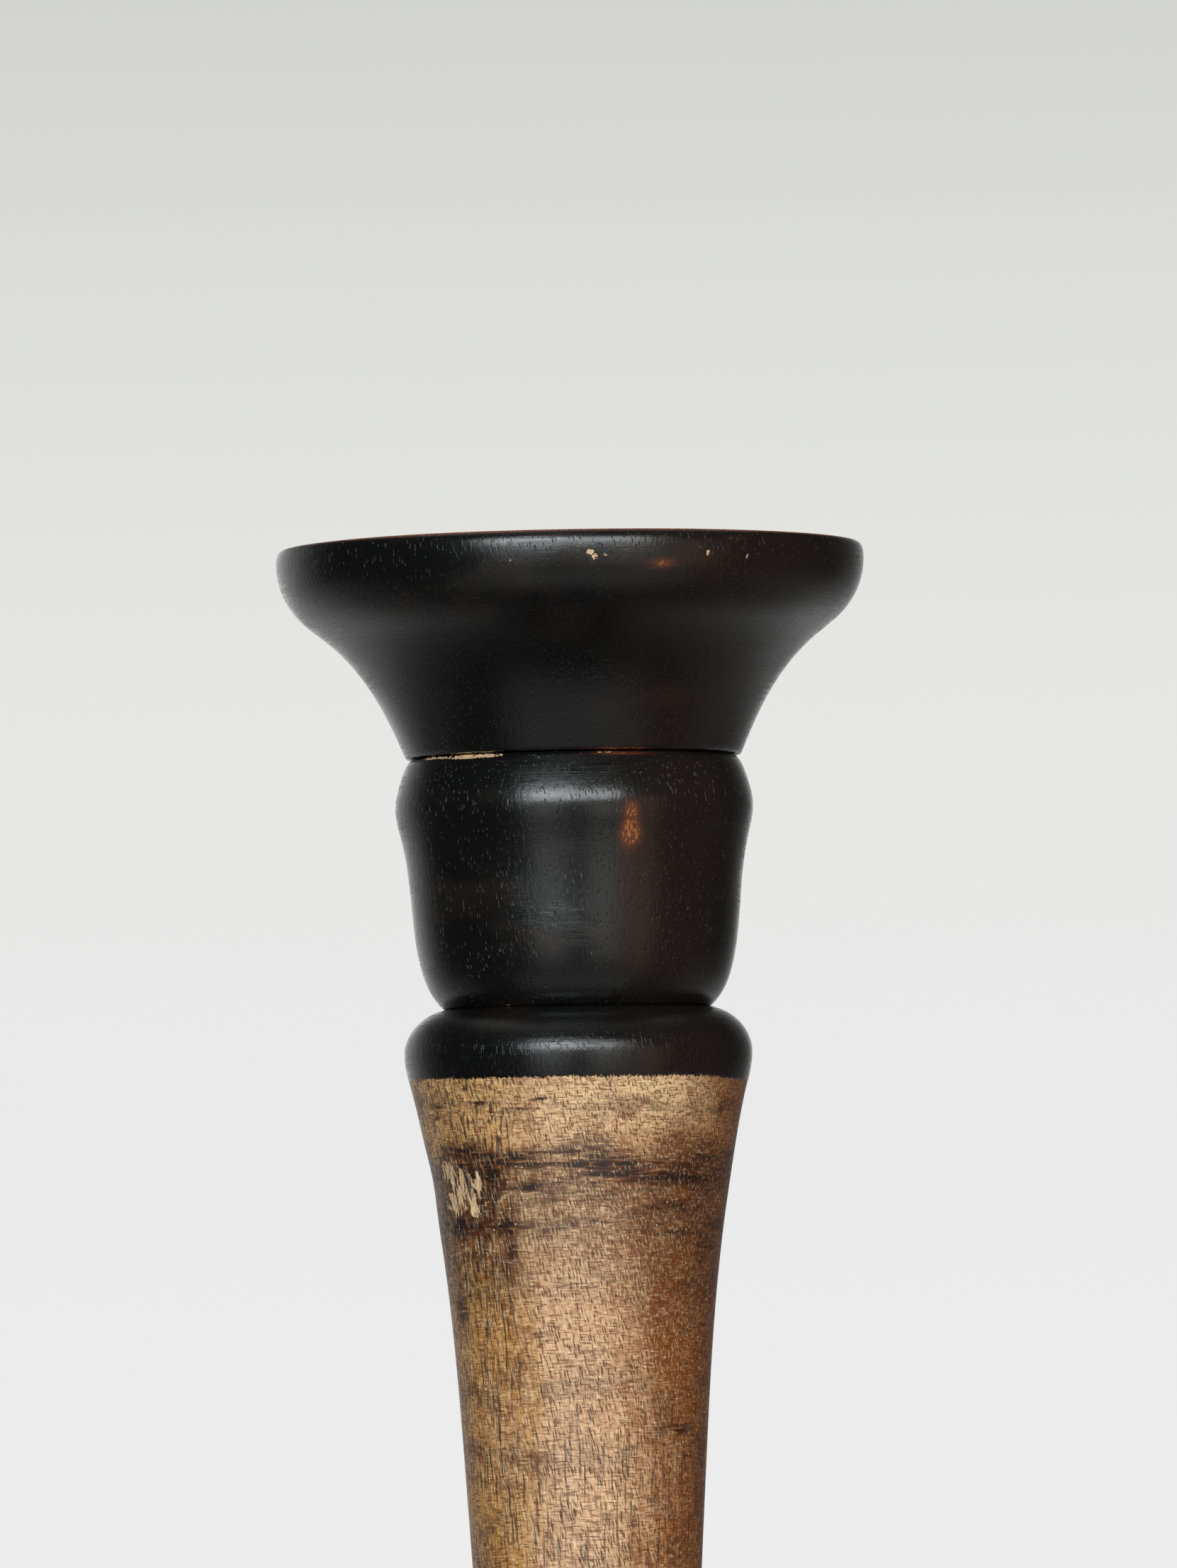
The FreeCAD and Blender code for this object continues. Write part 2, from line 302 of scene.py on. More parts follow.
@dataclass
class Turning:
    """A piece swept round the turning axis from a closed half section, then worn.

    The pitches are the usual and the smallest distance between its rows, in millimetres.
    """

    name: str = "turning"
    nodes: tuple[str, ...] = ()
    body: Body = Body.STAND
    slot: Slot = Slot.BLACK
    segments: int = 360
    smooth_angle: float = 40.0
    pitch: float = 0.45
    fine_pitch: float = 0.14

    def section(self) -> np.ndarray:
        """Radius and height of the half section, in millimetres, anticlockwise."""
        raise NotImplementedError

    def wear(self, surface: Surface) -> None:
        """Dents and marks the piece; a plain piece has none."""

    def closed(self, section: np.ndarray) -> bool:
        """Whether the half section is a ring, and doesn't touch the axis."""
        return bool(section[:, 0].min() > 1e-6)

    def surface(self, section: np.ndarray) -> Surface:
        """Sweeps the half section into a grid of points.

        Args:
            section: radius and height of the rows, in millimetres.

        Returns:
            The grid, with its outward directions, before any wear.
        """
        steps = np.gradient(section, axis=0)
        if self.closed(section):
            steps = np.roll(section, -1, axis=0) - np.roll(section, 1, axis=0)
        normal = np.column_stack([steps[:, 1], -steps[:, 0]])
        normal /= np.maximum(np.linalg.norm(normal, axis=1), 1e-9)[:, None]
        azimuth = np.linspace(0, 360, self.segments, endpoint=False)
        across, along = np.sin(np.radians(azimuth)), -np.cos(np.radians(azimuth))
        shape = (len(section), self.segments)

        def swept(radius: np.ndarray, height: np.ndarray) -> np.ndarray:
            """Turns radii and heights into points round the axis."""
            level = np.broadcast_to(height[:, None], shape)
            return np.stack([np.outer(radius, across), np.outer(radius, along), level], axis=-1)

        return Surface(
            places=swept(section[:, 0], section[:, 1]) * MM,
            outward=swept(normal[:, 0], normal[:, 1]),
            azimuth=np.broadcast_to(azimuth, shape),
            radius=np.broadcast_to(section[:, :1], shape),
            height=np.broadcast_to(section[:, 1:], shape),
        )

    def faces(self, rows: int, closed: bool) -> list[tuple[int, ...]]:
        """Faces of the grid.

        Args:
            rows: number of rows of points.
            closed: whether the last row joins the first; else the end rows are on the axis.

        Returns:
            The corner numbers of each face.
        """
        ring = np.arange(self.segments)
        after = np.roll(ring, -1)
        found: list[tuple[int, ...]] = []
        if closed:
            pairs = [(row, (row + 1) % rows) for row in range(rows)]
        else:
            pairs = [(row, row + 1) for row in range(1, rows - 2)]
        for low, high in pairs:
            a, b = low * self.segments, high * self.segments
            found += zip(a + ring, a + after, b + after, b + ring)
        if not closed:
            top = (rows - 2) * self.segments
            found += [(0, int(j), int(i)) for i, j in zip(self.segments + ring, self.segments + after)]
            found += [(int(i), int(j), rows * self.segments - 1) for i, j in zip(top + ring, top + after)]
        return found

    def build(self, finish: "Finish") -> bpy.types.Object:
        """Makes the piece, puts its finish on and fixes it to its body.

        Args:
            finish: the finish that the piece gets.

        Returns:
            The new object.
        """
        section = self.section()
        surface = self.surface(section)
        self.wear(surface)
        faces = self.faces(len(section), self.closed(section))
        piece = new_piece(self.name, surface.places.reshape(-1, 3).tolist(), faces)
        mesh = piece.data
        for layer, values in surface.layers.items():
            attribute = mesh.attributes.new(layer.value, "FLOAT", "POINT")
            attribute.data.foreach_set("value", values.astype(np.float32).ravel())
        self.drop_unused(mesh)
        mesh.set_sharp_from_angle(angle=math.radians(self.smooth_angle))
        mesh.materials.append(finish.material())
        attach(piece, self.body.value)
        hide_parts(*self.nodes)
        return piece

    @staticmethod
    def drop_unused(mesh: bpy.types.Mesh) -> None:
        """Deletes the points that no face uses, such as the spare ones on the axis.

        Args:
            mesh: the mesh to clean.
        """
        made = bmesh.new()
        made.from_mesh(mesh)
        spare = [point for point in made.verts if not point.link_faces]
        bmesh.ops.delete(made, geom=spare, context="VERTS")
        made.to_mesh(mesh)
        made.free()


def top_of(node: str) -> float:
    """Height of a CAD node's top, in millimetres."""
    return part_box(node)[1].z / MM


def bottom_of(node: str) -> float:
    """Height of a CAD node's bottom, in millimetres."""
    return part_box(node)[0].z / MM


@dataclass
class FlaredCup(Turning):
    """The cup: flare, rounded lip, bowl and the spigot underneath."""

    name: str = "flared_cup_wood"
    nodes: tuple[str, ...] = ("flared_cup",)
    segments: int = 600
    pitch: float = 0.5
    fine_pitch: float = 0.16
    bowl_pitch: float = 0.9
    seat_radius: float = 26.2
    rim_radius: float = 46.0
    well_radius: float = 15.5
    spigot_radius: float = 19.5
    rebate_radius: float = 18.9
    rebate_depth: float = 1.0
    lip_drop: float = 2.2
    liner_gap: float = 0.2
    seam_ease: float = 0.35
    break_edge: float = 0.15

    def section(self) -> np.ndarray:
        """Draws the flare from the seat up, the lip, the bowl and the well.

        Returns:
            Radius and height of the half section.
        """
        seat, rim, spigot = top_of("collar"), top_of("flared_cup"), bottom_of("flared_cup")
        floor = top_of("well_liner") + self.liner_gap
        flare = smooth_line(
            [
                (self.seat_radius, seat),
                (28.5, seat + 5.4),
                (32.3, seat + 12.1),
                (38.3, seat + 18.7),
                (42.4, seat + 22.1),
                (45.2, seat + 26.4),
                (self.rim_radius, rim - self.lip_drop),
            ],
            (0.38, 1.0),
            UPWARD,
        )
        lip = smooth_line(
            [(self.rim_radius, rim - self.lip_drop), (45.3, rim - 0.15), (44.6, rim)], UPWARD, INWARD, 0.1
        )
        inner_lip = smooth_line(
            [(42.2, rim), (41.2, rim - 0.6), (40.6, rim - 2)], INWARD, (-0.25, -1.0), 0.2
        )
        bowl = smooth_line(
            [
                (40.6, rim - 2),
                (38.0, floor + 11.1),
                (33.2, floor + 5.1),
                (27.5, floor + 1.4),
                (21.5, floor),
            ],
            (-0.25, -1.0),
            INWARD,
        )
        start = flare[flare[:, 1] > seat + self.seam_ease]
        eased = eased_corner((self.seat_radius, seat), (self.spigot_radius, seat), start[0], 0.4)
        outside = np.vstack([eased, start, lip[1:]])
        rebate = floor - self.rebate_depth
        inside = [
            (self.rebate_radius + self.break_edge, floor),
            (self.rebate_radius, floor - self.break_edge),
            (self.rebate_radius, rebate),
            (self.well_radius + self.break_edge, rebate),
            (self.well_radius, rebate - self.break_edge),
            (self.well_radius, spigot),
            (self.spigot_radius, spigot),
            (self.spigot_radius, seat),
        ]

        def spacing(height: float) -> float:
            """Rows are finest at the seat and below the rim, where the cup is chipped."""
            return self.fine_pitch if height < seat + 1 or height > rim - 4 else self.pitch

        bowl_rows = respaced(bowl, lambda height: self.bowl_pitch)[1:]
        return np.vstack([respaced(outside, spacing), inner_lip, bowl_rows, inside])

    def wear(self, surface: Surface) -> None:
        """Chips the lower edge, nicks the rim and makes the flare a little out of round.

        Args:
            surface: the cup's points.
        """
        seat, rim = top_of("collar"), top_of("flared_cup")
        bare = surface.marked(
            Mark(4.0, rim - 3.6, 0.6, 0.5, 1.05),
            Mark(4.9, rim - 4.4, 0.45, 0.5, 1.1),
            Mark(6.8, rim - 4.0, 0.4, 0.35, 1.1),
            Mark(8.1, rim - 4.3, 0.3, 0.3, 1.1),
            Mark(27.5, rim - 3.7, 0.22, 0.6, 1.2),
            Mark(36.6, rim - 4.1, 0.22, 0.4, 1.1),
            Mark(-11.2, rim - 4.5, 0.3, 0.35, 0.95),
            Mark(-12.0, rim - 4.0, 0.25, 0.2, 0.9),
            Mark(-38.0, seat + 0.05, 5.5, 0.16, 0.8),
            Mark(118.0, rim - 1.1, 0.8, 0.5, 1.1),
            Mark(171.0, rim - 1.4, 1.4, 0.6, 1.1),
            Mark(-96.0, rim - 1.2, 0.6, 0.5, 1.0),
            Mark(-150.0, seat + 0.1, 5.0, 0.25, 0.9),
            Mark(95.0, seat + 0.1, 3.0, 0.22, 0.8),
        )
        rubbed = surface.marked(
            Mark(18.3, rim - 5.3, 2.2, 0.8, 0.62),
            Mark(34.0, rim - 1.3, 3.5, 0.6, 0.3),
            Mark(14.0, rim - 6.0, 7.0, 1.5, 0.2),
            Mark(30.0, rim - 4.0, 9.0, 1.4, 0.2),
            Mark(16.0, seat + 0.1, 6.5, 0.3, 0.9),
            Mark(150.0, rim - 3.0, 4.0, 1.0, 0.6),
            Mark(-80.0, rim - 2.0, 3.5, 0.8, 0.45),
            Mark(30.0, seat + 8.0, 9.0, 3.5, 0.25),
        )
        lip = surface.radius > self.rim_radius - 1.5
        rubbed += np.where(lip, 0.9 * smooth_step(rim - 0.5, rim - 0.15, surface.height), 0.0)
        surface.chip(bare, depth=0.12, size=0.9, seed=3.1)
        surface.blunt(seat, surface.radius > self.spigot_radius + 2, depth=0.10, size=2.2, seed=5.7)
        surface.ripple(surface.radius > self.spigot_radius + 1, depth=0.05, size=24.0, seed=9.3)
        surface.layers = {Layer.BARE: bare, Layer.RUBBED: rubbed}


@dataclass
class Collar(Turning):
    """The pear-shaped collar between the cup and the stem."""

    name: str = "collar_wood"
    nodes: tuple[str, ...] = ("collar",)
    segments: int = 480
    top_radius: float = 25.5
    foot_radius: float = 20.8
    well_radius: float = 15.5
    seat_radius: float = 19.6
    seat_depth: float = 6.0
    spigot_radius: float = 18.5
    seam_ease: float = 0.3
    joint_ease: float = 0.15

    def section(self) -> np.ndarray:
        """Draws the pear from the joint with the stem up to the cup's seat.

        Returns:
            Radius and height of the half section.
        """
        top, joint, spigot = top_of("collar"), top_of("stem"), bottom_of("collar")
        outline = smooth_line(
            [
                (self.foot_radius, joint),
                (22.8, joint + 2.5),
                (24.5, joint + 7.1),
                (25.5, joint + 13.6),
                (26.1, joint + 20.4),
                (27.2, joint + 26.9),
                (28.0, joint + 31.4),
                (27.2, joint + 35.6),
                (self.top_radius, top),
            ],
            (1.0, 0.9),
            (-0.85, 1.0),
        )
        outline = outline[(outline[:, 1] > joint + 0.12) & (outline[:, 1] < top - 0.2)]
        lower = eased_corner(
            (self.foot_radius, joint), (self.spigot_radius, joint), outline[0], self.joint_ease
        )
        upper = eased_corner((self.top_radius, top), outline[-1], (self.seat_radius, top), self.seam_ease)
        inside = [
            (self.seat_radius, top),
            (self.seat_radius, top - self.seat_depth),
            (self.well_radius, top - self.seat_depth),
            (self.well_radius, spigot),
            (self.spigot_radius, spigot),
            (self.spigot_radius, joint),
        ]

        def spacing(height: float) -> float:
            """Rows are finest at the chipped top edge."""
            return self.fine_pitch if height > top - 1.2 else self.pitch

        return np.vstack([respaced(np.vstack([lower, outline, upper]), spacing), inside])

    def wear(self, surface: Surface) -> None:
        """Chips the top edge under the cup and rubs the bulge through to the wood; a faint rusty band
        down its right side is a painted warm reflection.

        Args:
            surface: the collar's points.
        """
        top, joint = top_of("collar"), top_of("stem")
        bare = surface.marked(
            Mark(-38.0, top - 0.4, 6.0, 0.36, 1.35),
            Mark(-60.0, top - 0.3, 3.0, 0.25, 0.8),
            Mark(11.0, top - 0.3, 1.6, 0.2, 0.8),
            Mark(128.0, top - 0.5, 7.0, 0.45, 1.2),
            Mark(-140.0, top - 0.5, 4.0, 0.4, 1.0),
            Mark(-30.0, joint + 0.2, 3.0, 0.2, 0.5),
        )
        rubbed = surface.marked(
            Mark(18.5, top - 9.2, 1.3, 1.4, 0.72),
            Mark(18.8, top - 12.8, 1.8, 2.0, 0.85),
            # These three faint tall marks make a rusty band down the right side: a painted warm
            # reflection.
            Mark(18.5, top - 12.0, 2.4, 5.0, 0.24),
            Mark(17.5, top - 22.0, 2.0, 8.0, 0.27),
            Mark(15.0, top - 31.5, 2.2, 2.0, 0.2),
            Mark(17.0, top - 0.5, 6.0, 0.4, 0.7),
            Mark(-165.0, top - 12.0, 3.0, 4.0, 0.9),
            Mark(-100.0, top - 6.0, 3.5, 1.8, 0.7),
        )
        outside = surface.radius > self.seat_radius + 1
        surface.chip(bare, depth=0.12, size=1.1, seed=7.9)
        surface.ripple(outside, depth=0.05, size=20.0, seed=2.3)
        surface.blunt(top, outside, depth=0.07, size=2.6, seed=8.8)
        surface.layers = {Layer.BARE: bare, Layer.RUBBED: rubbed}


@dataclass
class Stem(Turning):
    """The waisted stem, black on its shoulder and cuff, brown between."""

    name: str = "stem_wood"
    nodes: tuple[str, ...] = ("stem",)
    slot: Slot = Slot.BROWN
    segments: int = 370
    pitch: float = 0.8
    fine_pitch: float = 0.12
    marked_pitch: float = 0.5
    plain_pitch: float = 1.3
    joint_radius: float = 20.8
    shoulder_radius: float = 27.2
    waist_radius: float = 17.0
    cuff_radius: float = 26.6
    well_radius: float = 15.5
    seat_radius: float = 18.6
    seat_depth: float = 6.0
    rod_hole_radius: float = 4.5
    paint_drop: float = 11.1
    cuff_paint_rise: float = 12.5
    paint_thickness: float = 0.07
    torn_depth: float = 0.16
    marked_length: float = 36.0
    plain_from: float = 92.0

    def section(self) -> np.ndarray:
        """Draws the cuff, the taper up to the shoulder, and the well inside.

        Returns:
            Radius and height of the half section.
        """
        top, foot, well = top_of("stem"), top_of("foot"), bottom_of("top_washer")
        cuff = smooth_line(
            [(self.joint_radius, foot), (25.2, foot + 3.0), (self.cuff_radius, foot + 7.4)],
            (1.0, 0.2),
            UPWARD,
        )
        taper = smooth_line(
            [
                (self.cuff_radius, foot + 7.4),
                (23.4, foot + 16.5),
                (19.2, foot + 36.0),
                (self.waist_radius, foot + 74.0),
                (18.8, top - 72.8),
                (20.4, top - 50.4),
                (22.2, top - 34.6),
                (23.9, top - 24.0),
                (26.1, top - 13.0),
                (self.shoulder_radius, top - 6.9),
            ],
            UPWARD,
            UPWARD,
        )
        shoulder = smooth_line(
            [
                (self.shoulder_radius, top - 6.9),
                (25.9, top - 3.2),
                (23.6, top - 1.1),
                (self.joint_radius, top),
            ],
            UPWARD,
            (-1.0, 0.2),
        )
        inside = [
            (self.seat_radius, top),
            (self.seat_radius, top - self.seat_depth),
            (self.well_radius, top - self.seat_depth),
            (self.well_radius, well),
            (self.rod_hole_radius, well),
            (self.rod_hole_radius, foot),
        ]

        def spacing(height: float) -> float:
            """Rows are finest at the two edges of the paint, and finer where the stem is marked.

            Args:
                height: a height on the stem.

            Returns:
                The distance to the next row.
            """
            upper, lower = top - self.paint_drop, foot + self.cuff_paint_rise
            if abs(height - upper) < 1.3 or abs(height - lower) < 1.0:
                return self.fine_pitch
            if height > top - self.marked_length:
                return self.marked_pitch
            return self.plain_pitch if height < top - self.plain_from else self.pitch

        outside = np.vstack([cuff, taper[1:], shoulder[1:]])
        return np.vstack([respaced(outside, spacing), inside])

    def paint_edge(self, surface: Surface) -> np.ndarray:
        """Finds how far each point is past the nearer edge of the paint.

        Args:
            surface: the stem's points.

        Returns:
            The distance in millimetres, above 0 where the stem is painted.
        """
        top, foot = top_of("stem"), top_of("foot")
        turn = np.radians(surface.azimuth)
        ring = np.stack([np.sin(turn), np.cos(turn), np.zeros_like(turn)], axis=-1) * 0.03
        flat = ring[:1].reshape(-1, 3)
        sway = 0.28 * noise_at(flat, 0.014, 4.4) + 0.12 * noise_at(flat, 0.0035, 8.1)
        dip = 0.75 * np.exp(-(((surface.azimuth[0] - 75) / 24) ** 2))
        upper = surface.height - (top - self.paint_drop - dip + sway)
        lower = (foot + self.cuff_paint_rise + 1.6 * sway) - surface.height
        return np.maximum(upper, lower)

    def wear(self, surface: Surface) -> None:
        """Lays the paint's thickness, then tears, smudges and flattens the brown wood.

        Args:
            surface: the stem's points.
        """
        top, foot = top_of("stem"), top_of("foot")
        edge = self.paint_edge(surface)
        outside = surface.radius > self.rod_hole_radius + 0.1
        narrow = surface.radius <= self.seat_radius + 0.01
        skin = outside & ~(narrow & (surface.height > bottom_of("top_washer") - 1))
        surface.push(np.where(skin, self.paint_thickness * (1 - smooth_step(-0.12, 0.12, edge)), 0.0))
        bare = surface.marked(
            Mark(-62.0, top - 25.2, 2.0, 1.7, 1.0),
            Mark(-52.0, top - 27.6, 2.3, 2.6, 1.15),
            Mark(-60.0, top - 30.5, 2.6, 2.2, 1.0),
            Mark(-43.0, top - 27.0, 0.9, 2.2, 0.75),
            Mark(-46.5, top - 30.8, 1.1, 1.9, 1.05),
            Mark(-36.0, top - 29.0, 0.6, 1.8, 0.6),
            Mark(142.0, foot + 96.0, 3.0, 3.5, 1.0),
            Mark(150.0, foot + 90.0, 1.5, 3.0, 0.8),
        )
        soot = surface.marked(
            Mark(-28.0, top - 23.8, 5.0, 1.1, 1.0),
            Mark(-50.0, top - 22.2, 4.5, 1.3, 0.9),
            Mark(-36.0, top - 26.5, 2.2, 2.4, 0.8),
            Mark(-19.0, top - 28.0, 3.6, 0.8, 0.9),
            Mark(-37.0, top - 33.7, 5.0, 1.6, 0.7),
            Mark(-58.0, top - 34.0, 3.4, 2.4, 0.9),
            Mark(-30.0, top - 37.5, 1.6, 4.0, 0.6),
            Mark(-60.0, top - 15.2, 3.6, 0.35, 0.9),
            Mark(-62.0, top - 17.1, 2.2, 0.35, 0.8),
            Mark(-37.0, top - 14.9, 1.6, 0.3, 0.9),
            Mark(-22.5, top - 16.0, 3.5, 0.28, 0.8),
            Mark(-13.0, top - 14.6, 2.3, 0.3, 0.9),
            Mark(0.0, top - 22.6, 9.0, 0.35, 0.8),
            Mark(8.0, top - 24.8, 11.0, 0.7, 1.0),
            Mark(14.0, top - 26.2, 7.0, 0.4, 0.9),
            Mark(-5.0, top - 30.0, 8.0, 0.35, 0.65),
            Mark(30.0, top - 27.2, 9.0, 0.9, 0.65),
            Mark(50.0, top - 26.5, 8.0, 2.6, 0.5),
            Mark(38.0, top - 31.5, 9.0, 1.5, 0.6),
            Mark(62.0, top - 38.0, 5.0, 4.0, 0.5),
            Mark(-22.0, top - 51.0, 6.5, 1.1, 0.42),
            Mark(50.0, top - 66.0, 7.0, 2.0, 0.52),
            Mark(-29.0, top - 70.0, 6.5, 1.3, 0.45),
            Mark(-66.0, top - 46.0, 3.0, 5.0, 0.6),
        )
        torn = smooth_step(0.42, 0.62, bare * (0.9 + 0.45 * surface.noise((0.8, 0.8, 2.4), 6.2)))
        flat = surface.marked(Mark(-80.0, top - 26.5, 9.0, 5.0, 0.4))
        surface.push(np.where(skin, self.torn_depth * torn, 0.0))
        surface.push(np.where(skin, flat, 0.0))
        surface.ripple(skin, depth=0.06, size=(14.0, 14.0, 40.0), seed=1.9)
        surface.layers = {Layer.BARE: bare, Layer.SOOT: soot, Layer.PAINT: edge}


@dataclass
class Foot(Turning):
    """The spreading foot under the stem."""

    name: str = "foot_wood"
    nodes: tuple[str, ...] = ("foot",)
    segments: int = 480
    bead_radius: float = 22.4
    bead_height: float = 3.6
    edge_radius: float = 52.0
    underside_radius: float = 49.6
    counterbore_radius: float = 12.0
    rod_hole_radius: float = 4.5

    def section(self) -> np.ndarray:
        """Draws the foot from the underside up the ogee to the bead.

        Returns:
            Radius and height of the half section.
        """
        top, bottom = top_of("foot"), bottom_of("foot")
        counterbore = top_of("foot_washer")
        neck = top - self.bead_height
        edge = smooth_line(
            [(self.underside_radius, bottom), (51.3, bottom + 1.2), (self.edge_radius, bottom + 4.6)],
            (1.0, 0.25),
            UPWARD,
        )
        ogee = smooth_line(
            [
                (self.edge_radius, bottom + 4.6),
                (47.4, bottom + 9.6),
                (38.0, bottom + 12.8),
                (29.4, bottom + 17.4),
                (24.6, bottom + 23.0),
                (self.bead_radius, neck),
            ],
            UPWARD,
            (-0.2, 1.0),
        )
        turn = np.linspace(-math.pi / 2, math.pi / 2, 17)[1:, None]
        half = self.bead_height / 2
        bead = np.hstack([self.bead_radius + half * np.cos(turn), top - half + half * np.sin(turn)])
        inside = [
            (self.rod_hole_radius, top),
            (self.rod_hole_radius, counterbore),
            (self.counterbore_radius, counterbore),
            (self.counterbore_radius, bottom),
        ]
        outside = np.vstack([edge, ogee[1:]])
        return np.vstack([respaced(outside, lambda height: self.pitch), bead, inside])

    def wear(self, surface: Surface) -> None:
        """Knocks the rounded edge and rubs the bead.

        Args:
            surface: the foot's points.
        """
        top, bottom = top_of("foot"), bottom_of("foot")
        bare = surface.marked(
            Mark(-22.0, bottom + 4.0, 1.3, 0.9, 1.2),
            Mark(-19.0, bottom + 3.2, 0.8, 0.6, 1.0),
            Mark(47.0, bottom + 5.2, 0.9, 0.7, 1.1),
            Mark(101.0, bottom + 3.6, 1.8, 0.8, 1.2),
            Mark(-128.0, bottom + 4.4, 1.1, 0.8, 1.1),
            Mark(160.0, bottom + 2.4, 2.2, 0.7, 1.1),
        )
        rubbed = surface.marked(
            Mark(10.0, bottom + 5.0, 14.0, 1.6, 0.55),
            Mark(-60.0, bottom + 4.5, 10.0, 1.4, 0.6),
            Mark(120.0, bottom + 5.0, 16.0, 1.5, 0.55),
            Mark(-160.0, bottom + 5.0, 12.0, 1.5, 0.6),
            Mark(-35.0, top - 1.8, 6.0, 0.7, 0.6),
            Mark(80.0, top - 1.8, 7.0, 0.7, 0.6),
        )
        surface.chip(bare, depth=0.2, size=1.2, seed=12.4)
        surface.ripple(surface.radius > self.counterbore_radius + 1, depth=0.06, size=26.0, seed=7.1)
        surface.layers = {Layer.BARE: bare, Layer.RUBBED: rubbed}


@dataclass
class WellLiner(Turning):
    """The drawn brass tube that stands the pens, with its rolled flange."""

    name: str = "well_liner_brass"
    nodes: tuple[str, ...] = ("well_liner",)
    body: Body = Body.LINER
    slot: Slot = Slot.BRASS
    segments: int = 240
    outer_radius: float = 15.2
    wall: float = 0.8
    flange_radius: float = 18.6
    bend: float = 0.6
    corner: float = 2.0
    flat_radius: float = 6.0

    def section(self) -> np.ndarray:
        """Draws the outside up to the flange, round its roll and down the inside.

        Returns:
            Radius and height of the half section.
        """
        top, bottom = top_of("well_liner"), bottom_of("well_liner")
        under = top - self.wall
        inner = self.outer_radius - self.wall
        roll = self.wall / 2
        turn = np.linspace(-math.pi / 2, math.pi / 2, 13)[:, None]
        rolled = np.hstack(
            [self.flange_radius - roll + roll * np.cos(turn), under + roll + roll * np.sin(turn)]
        )
        fall = np.linspace(0, math.pi / 2, 9)[:, None]
        mouth = np.hstack(
            [inner + self.bend * (1 - np.sin(fall)), top - self.bend + self.bend * np.cos(fall)]
        )
        floor, centre = bottom + self.wall, inner - self.corner
        level = floor + self.corner
        wide = self.corner + self.wall
        crease = np.hstack([centre + wide * np.sin(fall), level - wide * np.cos(fall)])
        hollow = np.hstack([centre + self.corner * np.cos(fall), level - self.corner * np.sin(fall)])
        side = [(self.outer_radius, height) for height in np.linspace(level + 3, under - 2, 12)]
        bore = [(inner, height) for height in np.linspace(top - 3, level + 3, 12)]
        return np.vstack(
            [
                [(0.0, bottom), (self.flat_radius, bottom)],
                crease,
                side,
                [(self.outer_radius, under - 0.2), (self.outer_radius + 0.2, under)],
                rolled,
                mouth,
                bore,
                hollow,
                [(self.flat_radius, floor), (0.0, floor)],
            ]
        )

    def wear(self, surface: Surface) -> None:
        """Lets the flange wave a little, as hand-rolled sheet does."""
        surface.ripple(surface.radius > self.outer_radius + 0.5, depth=0.05, size=9.0, seed=3.3)


@dataclass
class CorkDisc(Turning):
    """A disc cut from cork sheet, with crumbled edges."""

    slot: Slot = Slot.CORK
    segments: int = 300
    pitch: float = 0.7
    edge: float = 0.3
    crumble: float = 0.12

    def section(self) -> np.ndarray:
        """Draws a disc as wide and thick as its CAD node.

        Returns:
            Radius and height of the half section.
        """
        low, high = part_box(self.nodes[0])
        radius, bottom, top = high.x / MM, low.z / MM, high.z / MM
        rings = np.arange(0, radius - 1, self.pitch)
        upper = eased_corner((radius, top), (radius, top - 1), (radius - 1, top), self.edge)
        lower = eased_corner((radius, bottom), (radius - 1, bottom), (radius, bottom + 1), self.edge)
        side = [(radius, height) for height in np.linspace(bottom + 0.5, top - 0.5, 4)]
        down = np.column_stack([rings, np.full_like(rings, bottom)])
        up = np.column_stack([rings[::-1], np.full_like(rings, top)])
        return np.vstack([down, lower, side, upper, up])

    def wear(self, surface: Surface) -> None:
        """Crumbles the edge and the faces.

        Args:
            surface: the disc's points.
        """
        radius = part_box(self.nodes[0])[1].x / MM
        rim = smooth_step(radius - 1.2, radius - 0.2, surface.radius)
        loss = np.clip(surface.noise(1.3, 5.5), 0, 1) + 0.5 * np.clip(surface.noise(0.6, 9.9), 0, 1)
        surface.push(self.crumble * loss * (0.25 + rim))


# ---------------------------------------------------------------- node sheets


def tint(red: int, green: int, blue: int) -> Colour:
    """Linear colour from the everyday 0 to 255 scale."""
    levels = [level / 255 for level in (red, green, blue)]
    return tuple(v / 12.92 if v <= 0.04045 else ((v + 0.055) / 1.055) ** 2.4 for v in levels)


